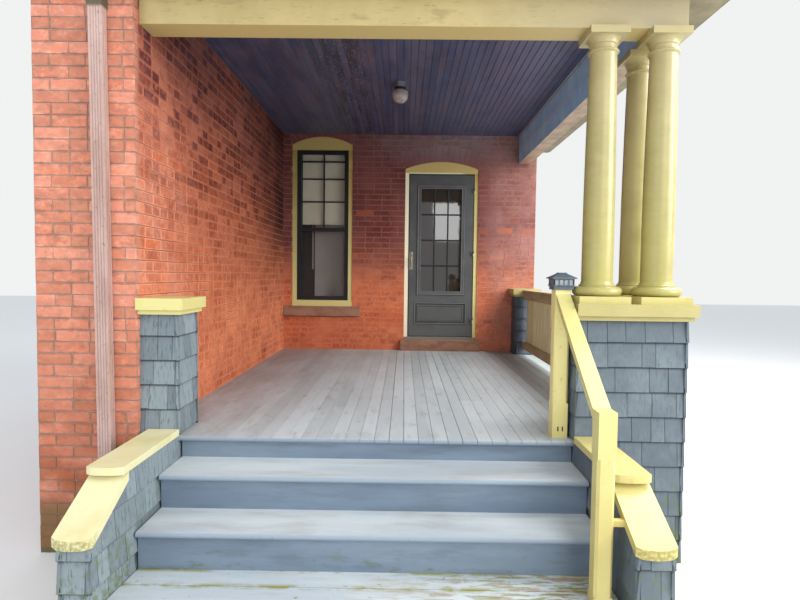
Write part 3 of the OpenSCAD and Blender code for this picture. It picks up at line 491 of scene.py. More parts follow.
# %% The openings, the arches and the roof that the bricks stop at
COURSE, BRICK_H, STRETCHER, JOINT = 67.0, 62.0, 205.0, 5.0
FIRST_COURSE = 28.0
SHORTEST = 12
EASED = 1.6
WORN_RIM, NARROWEST_WORN = 0.009, 0.024
PITCH = math.radians(10)
ROOF_FOOT = 18
window_low, window_high = span("window_frame")
door_low, door_high = span("door_frame")
sill_low, sill_high = span("window_sill_stone")
step_low, step_high = span("door_step_stone")
roof_low, roof_high = span("roof")
eaves_low, eaves_high = span("eaves")


class Arch:
    """A segmental arch of bricks on end over an opening."""

    def __init__(self, left, right, crown, rise, depth):
        half = (right - left) / 2
        self.middle = (left + right) / 2
        self.radius = (half * half + rise * rise) / (2 * rise)
        self.centre_z = crown - self.radius
        self.half_angle = math.asin(half / self.radius)
        self.depth = depth

    def cut(self, z):
        """Half the width that the arch takes from a course at height z."""
        up = z - self.centre_z
        outer = self.radius + self.depth - 10
        if up <= 0 or up >= outer:
            return 0.0
        return min(up * math.tan(self.half_angle), math.sqrt(outer ** 2 - up ** 2))


window_arch = Arch(window_low.x, window_high.x, window_high.z, rise=98, depth=108)
door_arch = Arch(door_low.x, door_high.x, door_high.z, rise=90, depth=203)


def roof_top(x, y):
    """Height of the roof's surface: it falls to the front and to the right at ten degrees."""
    front = (y - roof_low.y) * math.tan(PITCH)
    side = (roof_high.x - x) * math.tan(PITCH)
    return roof_low.z + ROOF_FOOT + min(front, side)


def in_roof(x, y, z):
    """True for a brick that the ceiling and the roof hide."""
    return eaves_high.z - 25 < z < roof_top(x, y) - COURSE and y > 0


print("arch radii:", round(window_arch.radius), "and", round(door_arch.radius))


# %% Laying courses on a wall face
def openings_at(z):
    """The stretches of the back wall that are open or of stone at height z."""
    cuts = []
    for low, high, arch in ((window_low, window_high, window_arch),
                            (door_low, door_high, door_arch)):
        rise_from = arch.centre_z + arch.radius * math.cos(arch.half_angle)
        if low.z - 1 < z < rise_from:
            cuts.append((low.x, high.x))
        elif z >= rise_from and arch.cut(z) > 0:
            cuts.append((arch.middle - arch.cut(z), arch.middle + arch.cut(z)))
    for low, high in ((sill_low, sill_high), (step_low, step_high)):
        if low.z < z < high.z:
            cuts.append((low.x, high.x))
    return cuts


def left_over(begin, end, cuts):
    """What cuts leave of a stretch from begin to end."""
    stretches = [(begin, end)]
    for low, high in cuts:
        stretches = [part for a, b in stretches
                     for part in ((a, min(b, low)), (max(a, high), b))
                     if part[1] - part[0] > SHORTEST]
    return stretches


def edges_of(verts):
    """The edges that meet some vertices, each once and always in the same order."""
    return list(dict.fromkeys(edge for vert in verts for edge in vert.link_edges))


def front_edges(body, centre, out):
    """The edges round the face of a block that looks along `out`."""
    face = [v for v in body if (v.co - at(*centre)).dot(out) > 0]
    return [edge for edge in edges_of(face) if all(v in face for v in edge.verts)]


def wear_faces(bm, out):
    """Draws in each brick's face and marks its middle as worn, for the brick material to read."""
    worn = bm.verts.layers.float.get("worn") or bm.verts.layers.float.new("worn")
    bm.normal_update()
    faces = [f for f in bm.faces if f.normal.dot(out) > 0.99
             and min(e.calc_length() for e in f.edges) > NARROWEST_WORN]
    bmesh.ops.inset_individual(bm, faces=faces, thickness=WORN_RIM)
    for face in faces:
        for v in face.verts:
            v[worn] = 1.0


def lay_bricks(bm, origin, along, out, length, hidden, cuts_at, dice, headers, proud=4.0):
    """Lays courses over a wall face from the ground to its top; a share of bricks are headers."""
    origin, along, out = Vector(origin), Vector(along), Vector(out)
    top = span("wing_wall")[1].z
    fronts = []
    course = 0
    while ground_z + FIRST_COURSE + (course + 1) * COURSE <= top + 1:
        z = ground_z + FIRST_COURSE + course * COURSE + COURSE / 2
        u = -STRETCHER / 2 * (course % 2) + dice.uniform(-6, 6)
        while u < length:
            step, tone = STRETCHER + dice.uniform(-3, 3), dice.uniform(0.25, 1)
            if dice.random() < headers:
                step, tone = STRETCHER / 2, dice.uniform(0, 0.5)
            brick = (max(u, 0) + JOINT / 2, min(u + step, length) - JOINT / 2)
            if u <= 0:
                brick = (0, brick[1])
            if u + step >= length:
                brick = (brick[0], length)
            for a, b in left_over(*brick, cuts_at(z)):
                centre = origin + along * (a + b) / 2 + UP * z
                if b - a < SHORTEST or hidden(centre):
                    continue
                stands = proud + dice.uniform(-0.8, 0.0)
                body = slab(bm, centre + out * (stands / 2 - 1), along, out,
                            (b - a, stands + 2, BRICK_H + dice.uniform(-1, 1)), tone)
                fronts += front_edges(body, centre, out)
            u += step
        course += 1
    ease(bm, EASED, edges=fronts)
    wear_faces(bm, out)


def turn_arch(bm, arch, y, dice, proud=5.0):
    """Sets bricks on end round an arch, each pointing at the arch's centre."""
    count = round(2 * arch.half_angle * arch.radius / COURSE)
    fronts = []
    for i in range(count):
        angle = arch.half_angle * ((2 * i + 1) / count - 1)
        up = Vector((math.sin(angle), 0, math.cos(angle)))
        side = up.cross(INTO)
        width = 2 * arch.half_angle * arch.radius / count - JOINT
        ends = [0, arch.depth]
        if dice.random() < 0.2:
            ends = [0, arch.depth / 2, arch.depth]
        for a, b in zip(ends, ends[1:]):
            centre = (Vector((arch.middle, y - proud / 2 + 1, arch.centre_z))
                      + up * (arch.radius + (a + b) / 2))
            body = slab(bm, centre, side, -INTO, (width, proud + 2, b - a - JOINT),
                        dice.random())
            spread = (arch.radius + b) / arch.radius
            for v in body:
                away = v.co - at(*centre)
                if away.dot(up) > 0:
                    v.co += side * away.dot(side) * (spread - 1)
            fronts += front_edges(body, centre, -INTO)
    ease(bm, EASED, edges=fronts)


print("a brick with its joint is", STRETCHER, "mm long and", COURSE, "mm high")

# %% The four brick faces
dice = random.Random(67)
wing_low = span("wing_wall")[0]
right_end = span("back_wall_right")[1].x

under_deck = deck_low.z - 40

bm = empty_mesh()
lay_bricks(bm, (0, 0, 0), INTO, RIGHT, back_y,
           lambda p: in_roof(0, p.y, p.z) or (p.y > 320 and p.z < under_deck),
           lambda z: [], dice, 0.4)
piece("side_wall_bricks", bm, [brick_clay], "brick")

bm = empty_mesh()
lay_bricks(bm, (wing_low.x, 0, 0), RIGHT, -INTO, 4 - wing_low.x, lambda p: False,
           lambda z: [], dice, 0.2)
piece("wing_front_bricks", bm, [brick_clay], "brick")

bm = empty_mesh()
lay_bricks(bm, (0, back_y, 0), RIGHT, -INTO, right_end + 4,
           lambda p: in_roof(p.x, back_y, p.z) or (p.x < deck_high.x and p.z < under_deck),
           openings_at, dice, 0.25)
turn_arch(bm, window_arch, back_y, dice)
turn_arch(bm, door_arch, back_y, dice)
piece("back_wall_bricks", bm, [brick_clay], "brick")

bm = empty_mesh()
lay_bricks(bm, (right_end, back_y, 0), INTO, RIGHT, span("back_wall_right")[1].y - back_y,
           lambda p: in_roof(right_end, p.y, p.z), lambda z: [], dice, 0.2)
piece("wall_end_bricks", bm, [brick_clay], "brick")

# %% [markdown]
# ## Paint on wood
# Most of the porch is wood under many coats of gloss paint. Brushed paint keeps faint strokes
# and splits along the grain. The pale yellow is clean and bright on the caps and posts in the
# open, and olive and crazed on the columns and beams. Painted shade darkens the same paint inside
# the porch and at its foot, and painted light brightens the left caps, the door's left jamb and
# the rear column. The upper newel has a lighter copy of the paint as painted light, and the corner
# and rear piers' caps a darker one as painted shade.

# %% Yellow paints
BY_DOOR = {"x": (1300, 1500), "y": (3000, 3700)}
UNDER = {"to_z": (-0.6, -0.9)}
STROKES = [(6, 0.12, (1, 1, 6)), (80, 0.5, (1, 1, 1))]


def yellow_paint(name, base, shade):
    """Gloss paint, pale yellow: smooth, painted shade at its foot, specks of moss near the ground.
    """
    return finish(start(name, 0.42), base, [
        (shade, None, 240, 0.5, 0.2, 0.8),
        ("b9a468", None, 40, 0.66, 0.05, 0.7, 1),
        ("5b5130", None, 7, 0.7, 0.03, 0.8, 2),
        # painted shade at the foot, darker towards the ground
        ("bcac66", {"z": (250, -150)}, 260, 0.36, 0.2, 0.8, 3),
        # painted light on the left caps, moss on the cheek caps' ends
        ("dcd6ac", {"x": (1200, 400), "z": (250, 60)}, 260, 0.3, 0.2, 0.85, 7),
        ("7f7a38", {"z": (-100, -200), "y": (-800, -858), "to_z": (0.4, 0.1)},
         14, 0.48, 0.08, 0.75, 4),
        # painted shade inside the porch, painted light on the door's left jamb,
        # then the arched head boards and the door's foot
        ("a68f48", {"y": (300, 3700), "z": (900, 2200)}, 300, 0.3, 0.2, 0.9, 6),
        ("efe9ca", [BY_DOOR, {"x": (2300, 2200)}]),
        ("c0ab68", ({"z": (2215, 2235), **BY_DOOR}, {"z": (2485, 2500), "y": (3000, 3700)})),
        ("7d7669", {"z": (170, 166), **BY_DOOR}),
    ], STROKES)


def aged_yellow_paint():
    """Older gloss paint, olive yellow: smooth with a low sheen, a few small cracks and runs."""
    return finish(start("aged olive yellow gloss paint", 0.33), "aaa06a", [
        ("9f955e", None, 160, 0.5, 0.2, 1.0, 0, (1, 1, 0.4)),
        ("887d47", None, 260, 0.6, 0.15, 0.6, 1),
        ("5c5235", None, 7, 0.71, 0.03, 0.8, 2, (1, 1, 3)),
        ("c0b689", None, 24, 0.7, 0.04, 0.5, 3, (2, 2, 0.5)),
        ("a4915f", {"z": (2250, 2600)}, 240, 0.42, 0.2, 0.5, 5),
        # painted light on the rear column, which the other columns shade
        ("c3b980", {"y": (278, 298)}, 160, 0.36, 0.2, 0.8, 6),
        ("b3a57c", {"z": (1500, 2300)}, 200, 0.34, 0.2, 0.6, 8),
        ("aca457", {"z": (1500, 950)}, 200, 0.4, 0.2, 0.6, 9),
        ("c4b976", {"z": (842, 838)}, 160, 0.3, 0.2, 0.9, 7),
    ], [(14, 0.12, (1, 1, 0.3)), (60, 0.5, (1, 1, 1))])


def beam_paint():
    """The beams' paint: cream yellow, split in long lines along the beam, tan underneath."""
    return finish(start("split cream yellow paint on beams", 0.48), "c1ae7a", [
        ("b29f6b", None, 300, 0.5, 0.15),
        ("73633c", None, 6, 0.67, 0.03, 0.85, 2, (12, 1, 1)),
        ("9a895c", None, 50, 0.62, 0.06, 0.6, 3, (4, 4, 1)),
        ("a0967a", {"x": (1800, 2700)}, 400, 0.3, 0.2, 0.85, 4, (3, 1, 1)),
        ("c1ac71", UNDER),
    ], [(7, 0.3, (10, 10, 1)), (90, 0.8, (1, 1, 1))])


def side_beam_paint():
    """The side beam: blue grey on the porch's side, a pale paint tinted blue as painted sky light in
    its shade; tan pink underneath, yellow outside.
    """
    return finish(start("blue grey and tan paint on a beam", 0.5), "bce6ff", [
        ("9ecaf4", None, 220, 0.5, 0.15),
        ("b39a80", UNDER),
        ("94806c", UNDER, 120, 0.5, 0.1, 1.0, 3),
        ("cfc184", {"to_x": (0.6, 0.9)}),
    ], [(8, 0.3, (1, 8, 1))])


def soffit_paint():
    """Grey-tan paint on the eaves: dusty, matt, with dark specks, and painted shade on its right
    side.
    """
    return finish(start("dusty grey tan paint on eaves", 0.65), "8f866b", [
        ("726a54", None, 160, 0.5, 0.15),
        ("5c5646", None, 12, 0.64, 0.04, 0.7, 2),
        ("665f4b", {"to_x": (0.6, 0.9)}, 500, 0.3, 0.2, 0.85, 3),
    ], [(10, 0.3, (1, 4, 1))])


beam_yellow, side_beam_grey, soffit_tan = beam_paint(), side_beam_paint(), soffit_paint()
dress("left_pier_cap left_cheek_caps right_cheek_caps lower_newel handrail window_frame "
      "door_frame", yellow_paint("pale yellow gloss paint on wood", "d2c885", "c9be77"))
# the upper newel has a lighter copy of the yellow paint: painted light
dress("upper_newel", yellow_paint("yellow gloss paint on a newel, lighter as painted light", "e8dc96", "e0d189"))
# the corner and rear piers' caps have a darker copy of the yellow paint: painted shade
dress("corner_pier_cap rear_pier_cap",
      yellow_paint("yellow gloss paint, darker as painted shade", "b0a56c", "a59a60"))
dress("column_left column_right column_rear", aged_yellow_paint())
dress("front_beam", beam_yellow)
dress("side_beam", side_beam_grey)
dress("eaves", soffit_tan)
print("the yellow wood, the beams and the eaves are painted")

# %% [markdown]
# ## Dark enamel, stone, metal and glass
# Dark paints differ in how much they shine and in their dust, which lies palest low on the door.
# The sills are grainy sandstone. Nickel keeps a metal's own index, and glass gets a high one,
# because a pane mirrors with both of its faces.

# %% Dark enamels
def dark_paint(name, base, dust, roughness):
    """A dark enamel: even, with a film of dust that lightens it in blots."""
    return finish(start(name, roughness, {"Specular IOR Level": 0.3}), base, [
        (dust, None, 150, 0.6, 0.18, 0.7),
        (dust, None, 9, 0.68, 0.03, 0.5, 2),
        (dust, {"z": (900, 300)}, 200, 0.3, 0.2, 0.8, 3),
    ], [(5, 0.08, (1, 1, 5))])


# the mouldings have a lighter copy of the door's enamel: painted highlights on their ridges
moulding_grey = dark_paint("door enamel on mouldings, lighter as painted highlights", "5e6164", "707275", 0.45)
# the near black enamel also fills the door's gaps as painted shadow
sash_black = dark_paint("near black sash enamel", "17191d", "26292e", 0.45)
# painted shade: the shingles' core is dark, so the gaps between shingles read as shadow
shingle_gap_shade = dark_paint("dark painted shade on the shingles' core", "1b1f23", "2a2f34", 0.95)
room_grey = dark_paint("dim grey room board", "aaa69f", "bab4ac", 0.8)
# painted shade: a dark board for the dim room behind the window and the newel's screw slots
dark_shade_board = dark_paint("dark board as painted shade", "2a2829", "353233", 0.85)
dress("door_leaf", dark_paint("dark grey door enamel", "4a4b4b", "5c5e5c", 0.5))
dress("storm_sash", sash_black)
print("door, sash and dark boards are painted")


# %% Stone, metal and glass
def glazing(name, tint, alpha):
    """Window glass: a dark tint, opaque on the door, that paints the shade of the depth behind it,
    and the sharp double reflection of two faces.
    """
    material = start(name, 0.03, {"IOR": 1.75, "Base Color": linear(tint), "Alpha": alpha})
    tree = material.node_tree
    ripple = node(tree, "ShaderNodeBump", {"Height": blots(tree, 400), "Distance": 0.0006})
    tree.links.new(ripple.outputs[0], tree.nodes["Principled BSDF"].inputs["Normal"])
    return material


# brown sandstone: grainy, rough, with pale and dark grains and faint beds
dress("window_sill_stone door_step_stone", finish(start("brown sandstone", 0.9), "9b7059", [
    ("7f5a49", None, 70, 0.5, 0.1, 1.0, 0, (3, 3, 1)),
    ("b08a70", None, 5, 0.58, 0.06, 0.6, 2),
    ("55392e", None, 6, 0.62, 0.05, 0.6, 3),
], [(4, 0.6, (1, 1, 1)), (40, 2.0, (2, 2, 1))]))
# satin nickel: grey metal, pale on its edges, dull where hands touch it
dress("door_handle", finish(start("worn satin nickel", 0.35, {"Metallic": 1.0}), "9a9484", [
    ("6d6656", None, 25, 0.5, 0.12),
], [(3, 0.05, (1, 1, 1))]))
# painted sheet aluminium: chalky mauve brown that went pale in blots, dark at the sleeve
dress("downspout", finish(start("chalky paint on sheet aluminium", 0.6), "a98a80", [
    ("bfa39a", None, 120, 0.5, 0.12, 1.0, 0, (1, 1, 4)),
    ("7c6a60", None, 20, 0.64, 0.05, 0.7, 2),
    ("57503c", [{"z": (2385, 2395)}, {"z": (2480, 2470)}]),
], [(12, 0.1, (1, 1, 5))]))
# opal glass under a dark plate: milky, glossy and unlit, with dust that greys it
dress("ceiling_light", finish(start("opal glass", 0.25), "a89c98", [
    ("857b78", None, 40, 0.52, 0.15),
    ("4b4a55", {"z": (2615, 2625)}),
]))
# the door's panes are opaque and dark: painted shade for the dim inside behind them
dress("door_panes", glazing("door glass, dark as painted shade", "2c2624", 1.0))
dress("window_panes", glazing("storm window glass", "4a4a48", 0.14))
print("stone, metal and glass are finished")

# %% [markdown]
# ## Grey-blue shingles
# Piers, cheek walls and the skirt are clad in painted wood shingles. A course shows 142 mm. The
# shingles are 80 to 200 mm wide, thicker at the butt, and each stands a little differently, so
# every course throws a ragged shadow line. Each shingle is a slab whose top is thinned, laid from
# the top course down over a plain core, and sawn where a sloping cap covers it.

# %% Shingle paint
COURSE_LINE, EXPOSURE, CLAD = 582.0, 142.0, 19.0


def shingle_paint():
    """Grey-blue paint on cedar: weathered grain, bare spots, moss, and a painted shadow under each
    butt.
    """
    material = start("grey blue paint on cedar shingles", 0.72)
    tree = material.node_tree
    height = node(tree, "ShaderNodeSeparateXYZ", {0: tree.nodes["place"].outputs["Object"]})
    course = node(tree, "ShaderNodeMapRange",
                  {"Value": height.outputs[2], "From Min": corner.z + COURSE_LINE / 1000,
                   "From Max": corner.z + (COURSE_LINE + EXPOSURE) / 1000}, clamp=False)
    course = node(tree, "ShaderNodeMath", {0: course.outputs[0]}, operation="FRACT").outputs[0]
    return finish(material, ("657076", "849094"), [
        ("85939c", None, 14, 0.6, 0.08, 0.3, 1, (1, 1, 6)),
        ("3f4a55", None, 10, 0.6, 0.06, 0.7, 2, (1, 1, 8)),
        ("b9a68c", None, 18, 0.7, 0.03, 0.8, 3, (1, 1, 3)),
        # darker at the back and on the right, mossy near the ground, a painted shadow under each
        # butt
        ("3d4753", {"y": (1500, 3300)}),
        ("525d66", {"x": (1200, 2400)}, 200, 0.36, 0.2, 0.8, 5),
        ("5c6a3e", {"z": (-120, -500)}, 45, 0.56, 0.07, 0.85, 4),
        ("232a31", fade(tree, course, 0.9, 0.96, 0.0, 0.75)),
    ], [(3, 0.5, (1, 1, 12)), (40, 1.2, (1, 1, 2))])


shingle_grey = shingle_paint()
print("made", shingle_grey.name)


# %% Cladding a face with shingles
WIDTHS = (85, 105, 120, 140, 165, 195)
LAP = 26
SIDE_GAP = 1.4
NARROWEST = 12
LOWEST_COURSE = 30
THIN_TOP = 2.5


def clad(bm, begin, end, low_z, high_z, dice):
    """Clads the face over a line from begin to end, seen with the face's left at begin."""
    begin, end = Vector((*begin, 0)), Vector((*end, 0))
    along = (end - begin).normalized()
    out = along.cross(UP)
    length = (end - begin).length
    butts = [COURSE_LINE - EXPOSURE * k for k in range(-1, 11)]
    butts = [max(butt, low_z) for butt in butts if butt < high_z - LOWEST_COURSE]
    for butt in dict.fromkeys(butts):
        top = min(butt + EXPOSURE + LAP, high_z)
        u = -dice.uniform(0, 150)
        while u < length:
            width = dice.choice(WIDTHS) + dice.uniform(-8, 8)
            a, b = max(u, 0) + SIDE_GAP, min(u + width, length) - SIDE_GAP
            u += width
            if b - a < NARROWEST:
                continue
            foot = max(butt + dice.uniform(-2.5, 2.5), low_z)
            thick = dice.uniform(CLAD - 4, CLAD - 0.5)
            centre = begin + along * (a + b) / 2 - out * (CLAD - thick / 2)
            centre.z = (foot + top) / 2
            body = slab(bm, centre, along, out, (b - a, thick, top - foot), dice.random())
            for v in body:
                away = v.co - at(*centre)
                if away.dot(out) > 0 and away.z > 0:
                    v.co -= out * (thick - THIN_TOP) / 1000


def clad_round(bm, points, feet, high_z, dice):
    """Clads the faces between neighbouring points, each from its own foot up to high_z."""
    for begin, end, foot in zip(points, points[1:], feet):
        clad(bm, begin, end, foot, high_z, dice)


def core(bm, low, high, sides):
    """The plain body under the shingles, drawn in on the named sides by their thickness."""
    low, high = list(low), list(high)
    for axis, name in ((0, "x"), (1, "y")):
        low[axis] += CLAD * ("-" + name in sides)
        high[axis] -= CLAD * ("+" + name in sides)
    body = block(bm, low, high, 0.2)
    # the core's faces take the second material, dark painted shade that shows in the gaps
    for face in {face for vert in body for face in vert.link_faces}:
        face.material_index = 1


def clad_piece(name, bm, node_name):
    """A clad body, which stands for the frame's plain one."""
    piece(name, bm, [shingle_grey, shingle_gap_shade], "shingle_paint", replaces=[node_name])


print("shingles are", WIDTHS, "mm wide, and a course shows", EXPOSURE, "mm")

# %% Left pier, corner pier, rear pier and skirt
PIER_ARM = 300
dice = random.Random(142)
low, high = span("left_pier")
bm = empty_mesh()
core(bm, low, high, "+x -y +y")
clad_round(bm, [(low.x, low.y), (high.x, low.y), (high.x, high.y), (low.x, high.y)],
           [low.z, low.z, 0], high.z, dice)
clad_piece("left_pier_shingles", bm, "left_pier")

low, high = span("corner_pier")
arm_y, arm_x = low.y + PIER_ARM, high.x - PIER_ARM
bm = empty_mesh()
core(bm, low, (high.x, arm_y, high.z), "-x +x -y +y")
core(bm, (arm_x, low.y, low.z), high, "-x +x -y +y")
clad_round(bm, [(low.x, low.y), (high.x, low.y), (high.x, high.y), (arm_x, high.y),
                (arm_x, arm_y), (low.x, arm_y), (low.x, low.y)],
           [low.z, low.z, low.z, 0, 0, -150], high.z, dice)
clad_piece("corner_pier_shingles", bm, "corner_pier")

low, high = span("rear_pier")
bm = empty_mesh()
core(bm, low, high, "-x +x -y")
clad_round(bm, [(low.x, high.y), (low.x, low.y), (high.x, low.y), (high.x, high.y)],
           [0, low.z, low.z], high.z, dice)
clad_piece("rear_pier_shingles", bm, "rear_pier")

low, high = span("side_skirt")
bm = empty_mesh()
core(bm, low, high, "+x")
clad(bm, (high.x, low.y), (high.x, high.y), low.z, high.z, dice)
clad_piece("skirt_shingles", bm, "side_skirt")

# %% [markdown]
# ## The cheek walls beside the steps
# Two low shingled walls hold the steps. Their tops run level and then fall with the steps, so the
# cladding is laid over the full height and sawn along both lines. The left wall's inner face turns
# outwards near its front end, which shows as a bend beside the bottom step.

# %% Cheek walls, sawn along their caps
SLOPE = math.radians(30)
BREAK_Y, SPLAY_Y, SPLAY = -545, -486, 22
CAP_T = 37
CLAD_TOP = 60


def half_cheek(name, splay, front):
    """The front or the back half of a cheek wall, clad and sawn under its cap."""
    low, high = span(name)
    dice = random.Random(name)
    bm = empty_mesh()
    core(bm, low, high, "-x +x -y")
    if splay:
        saw(bm, (high.x - CLAD, SPLAY_Y, 0), Vector((SPLAY_Y - low.y, -splay, 0)))
    points = [(low.x, high.y), (low.x, low.y), (high.x - splay, low.y), (high.x, high.y)]
    if splay:
        points.insert(3, (high.x, SPLAY_Y))
    clad_round(bm, points, [low.z] * 4, CLAD_TOP, dice)
    saw(bm, (0, BREAK_Y, 0), INTO if front else -INTO)
    if front:
        saw(bm, (0, BREAK_Y, high.z - CAP_T / math.cos(SLOPE)),
            Vector((0, -math.sin(SLOPE), math.cos(SLOPE))))
    else:
        saw(bm, (0, 0, high.z), UP)
    return bm


for name, splay in (("left_cheek_wall", SPLAY), ("right_cheek_wall", 0)):
    bm = half_cheek(name, splay, True)
    back = half_cheek(name, splay, False)
    held = bpy.data.meshes.new("held")
    back.to_mesh(held)
    back.free()
    bm.from_mesh(held)
    bpy.data.meshes.remove(held)
    clad_piece(name + "_shingles", bm, name)

# %% [markdown]
# ## Painted deck and steps
# The deck is laid with narrow boards that run from the house wall to the steps, each rounded over
# at its front end. Feet and frost opened some of the joints, so they are drawn wider on the right.
# Deck enamel is hard and satin, and wears to brown where water stands. A loop lays the boards,
# cuts each at the piers, and breaks a few of them at a butt joint.

# %% Enamels for deck, treads and risers
LOWEST_TREAD = {"z": (-440, -500)}
WORN_TREAD = {**LOWEST_TREAD, "x": (1200, 2200)}
TREAD_JOINTS = ([{"y": (-650, -625)}, {"y": (-594, -619)}], {"y": (-512, -492)})


def deck_enamel():
    """Grey deck enamel: satin, scuffed pale on walked lines, brown by the left wall."""
    return finish(start("grey deck enamel on boards", 0.5), ("a7afb2", "c0c8cb"), [
        ("c1c8ca", None, 160, 0.55, 0.12, 0.6, 1, (1, 5, 1)),
        ("8a8a86", None, 60, 0.63, 0.08, 0.5, 2, (1, 3, 1)),
        ("878c8a", {"y": (1300, 3500)}, 400, 0.4, 0.2, 0.7, 5, (1, 2, 1)),
        ("83756f", {"x": (900, 60)}, 300, 0.46, 0.15, 0.75, 3, (1, 3, 1)),
        ("5a4a3c", None, 8, 0.69, 0.03, 0.8, 4),
        ("84909c", {"to_y": (-0.2, -0.8)}),
    ], [(3, 0.15, (1, 14, 1)), (60, 0.6, (1, 3, 1))])


def tread_enamel():
    """Blue-grey enamel on the treads: worn to wood and mossy on the lowest one."""
    return finish(start("blue grey enamel on treads", 0.5), "b0b9bf", [
        ("c3cacb", None, 200, 0.5, 0.12, 1.0, 0, (5, 1, 1)),
        ("a39c8c", None, 90, 0.62, 0.1, 0.45, 1, (4, 1, 1)),
        ("8a97a4", {"to_y": (-0.1, -0.7)}),
        ("62594a", None, 8, 0.68, 0.03, 0.8, 2),
        ("9c7c56", WORN_TREAD, 30, 0.54, 0.03, 0.85, 3, (6, 1, 1)),
        ("83844c", WORN_TREAD, 24, 0.54, 0.03, 0.85, 5, (5, 1, 1)),
        ("8c8a2c", [TREAD_JOINTS, LOWEST_TREAD], 90, 0.5, 0.06, 0.95, 4, (2, 1, 1)),
        ("6c7038", LOWEST_TREAD, 24, 0.68, 0.03, 0.8, 6, (2, 1, 1)),
    ], [(3, 0.2, (14, 1, 1)), (50, 0.6, (3, 1, 1))])


def riser_enamel():
    """Darker blue enamel on the risers: scuffed by shoes, streaked, damp at the foot."""
    return finish(start("dark blue grey enamel on risers", 0.5), "6b7a8c", [
        ("7b8b99", None, 180, 0.5, 0.12, 1.0, 0, (5, 1, 1)),
        ("586472", None, 60, 0.6, 0.1, 0.5, 1, (7, 1, 1)),
        ("a1a6a8", None, 9, 0.71, 0.02, 0.8, 2, (2, 1, 1)),
        ("3b434c", None, 7, 0.7, 0.02, 0.8, 3),
        ("5f6a4c", {"z": (-330, -480)}, 40, 0.6, 0.05, 0.6, 4, (3, 1, 1)),
    ], [(3, 0.2, (14, 1, 1)), (50, 0.5, (3, 1, 1))])


deck_grey, tread_grey = deck_enamel(), tread_enamel()
dress("top_tread middle_tread", tread_grey)
dress("step_risers", riser_enamel())
print("made", deck_grey.name, "and", tread_grey.name)

# %% Deck boards
BOARD = 85.0
NOSE = 13.0
LEVEL = 0.001
OPENED_FROM = 1300
SHORTEST_BOARD = 100
BUTT_JOINTS = (900, 1010, 1480, 2100, 2700)


def front_and_back(left, right):
    """Where a deck board begins and ends along y, by what stands at its left and right edge."""
    pier = span("left_pier")[1]
    corner_low, corner_high = span("corner_pier")
    rear_low = span("rear_pier")[0]
    begin = deck_low.y
    if right <= pier.x + 1:
        begin = pier.y - CLAD
    elif left >= corner_low.x:
        begin = corner_low.y + PIER_ARM - CLAD
    if left >= corner_high.x - PIER_ARM:
        begin = corner_high.y - CLAD
    end = back_y if left < rear_low.x else rear_low.y + CLAD
    return begin, end


def round_nose(bm, edges, segments):
    """Rounds the front edges of boards over, as a plane does."""
    bmesh.ops.bevel(bm, geom=edges, offset=NOSE / 1000, affect="EDGES", segments=segments,
                    profile=0.5, material=-1, clamp_overlap=True)


dice = random.Random(85)
bm = empty_mesh()
noses, tops = [], []
left = deck_low.x
while left < deck_high.x - 1:
    right = min(left + BOARD, deck_high.x)
    begin, end = front_and_back(left, right)
    gap = dice.uniform(0.8, 1.8) if left < OPENED_FROM else dice.uniform(1.6, 3.8)
    butts = [begin, end]
    if dice.random() < 0.5:
        butts.insert(1, dice.choice(BUTT_JOINTS) + dice.uniform(-30, 30))
    for y0, y1 in zip(butts, butts[1:]):
        if y1 - y0 < SHORTEST_BOARD:
            continue
        sag = dice.uniform(0, 0.7)
        body = block(bm, (left + gap / 2, y0, deck_low.z),
                     (right - gap / 2, y1 - (y1 != end) * 1.5, deck_high.z - sag), dice.random())
        for edge in edges_of(body):
            a, b = (vert.co for vert in edge.verts)
            at_front = max(a.y, b.y) < at(0, deck_low.y + 1, 0).y
            if at_front and abs(a.z - b.z) < LEVEL:
                noses.append(edge)
            elif min(a.z, b.z) > at(0, 0, -10).z and abs(a.x - b.x) < LEVEL:
                tops.append(edge)
    left = right
round_nose(bm, noses, 4)
ease(bm, 1.0, edges=[edge for edge in tops if edge.is_valid])
piece("deck_planks", bm, [deck_grey], "deck_paint", replaces=["porch_deck"])

# %% Two boards of the bottom tread
low, high = span("bottom_tread")
cheek_low, cheek_high = span("left_cheek_wall")
JOINT_Y = -622
bm = empty_mesh()
block(bm, (low.x, low.y, low.z), (high.x, JOINT_Y - 2, high.z), 0.3)
block(bm, (low.x, JOINT_Y + 2, low.z), (high.x, high.y, high.z - 1), 0.8)
round_nose(bm, [e for e in bm.edges if all(v.co.y < at(0, low.y + 1, 0).y for v in e.verts)
                and abs(e.verts[0].co.z - e.verts[1].co.z) < LEVEL], 5)
saw(bm, (cheek_high.x, SPLAY_Y, 0), Vector((cheek_low.y - SPLAY_Y, SPLAY, 0)))
piece("bottom_tread_boards", bm, [tread_grey], "tread_paint", replaces=["bottom_tread"])

# %% [markdown]
# ## The boarded ceiling and the beams' trim
# Narrow tongued boards with a V between them run from front to back over the porch. Their dark
# paint took on the brown of the wood in places, so boards differ. The real boards are one skin:
# here each is a block with its two lower edges eased to half the V. The side beam has a thin
# moulding along its inner face, and the front beam a lip on its inner lower edge.

# %% Ceiling boards
CEILING_BOARD = 58
PEELED = [{"x": (650, 950)}, {"x": (1350, 1050)}]


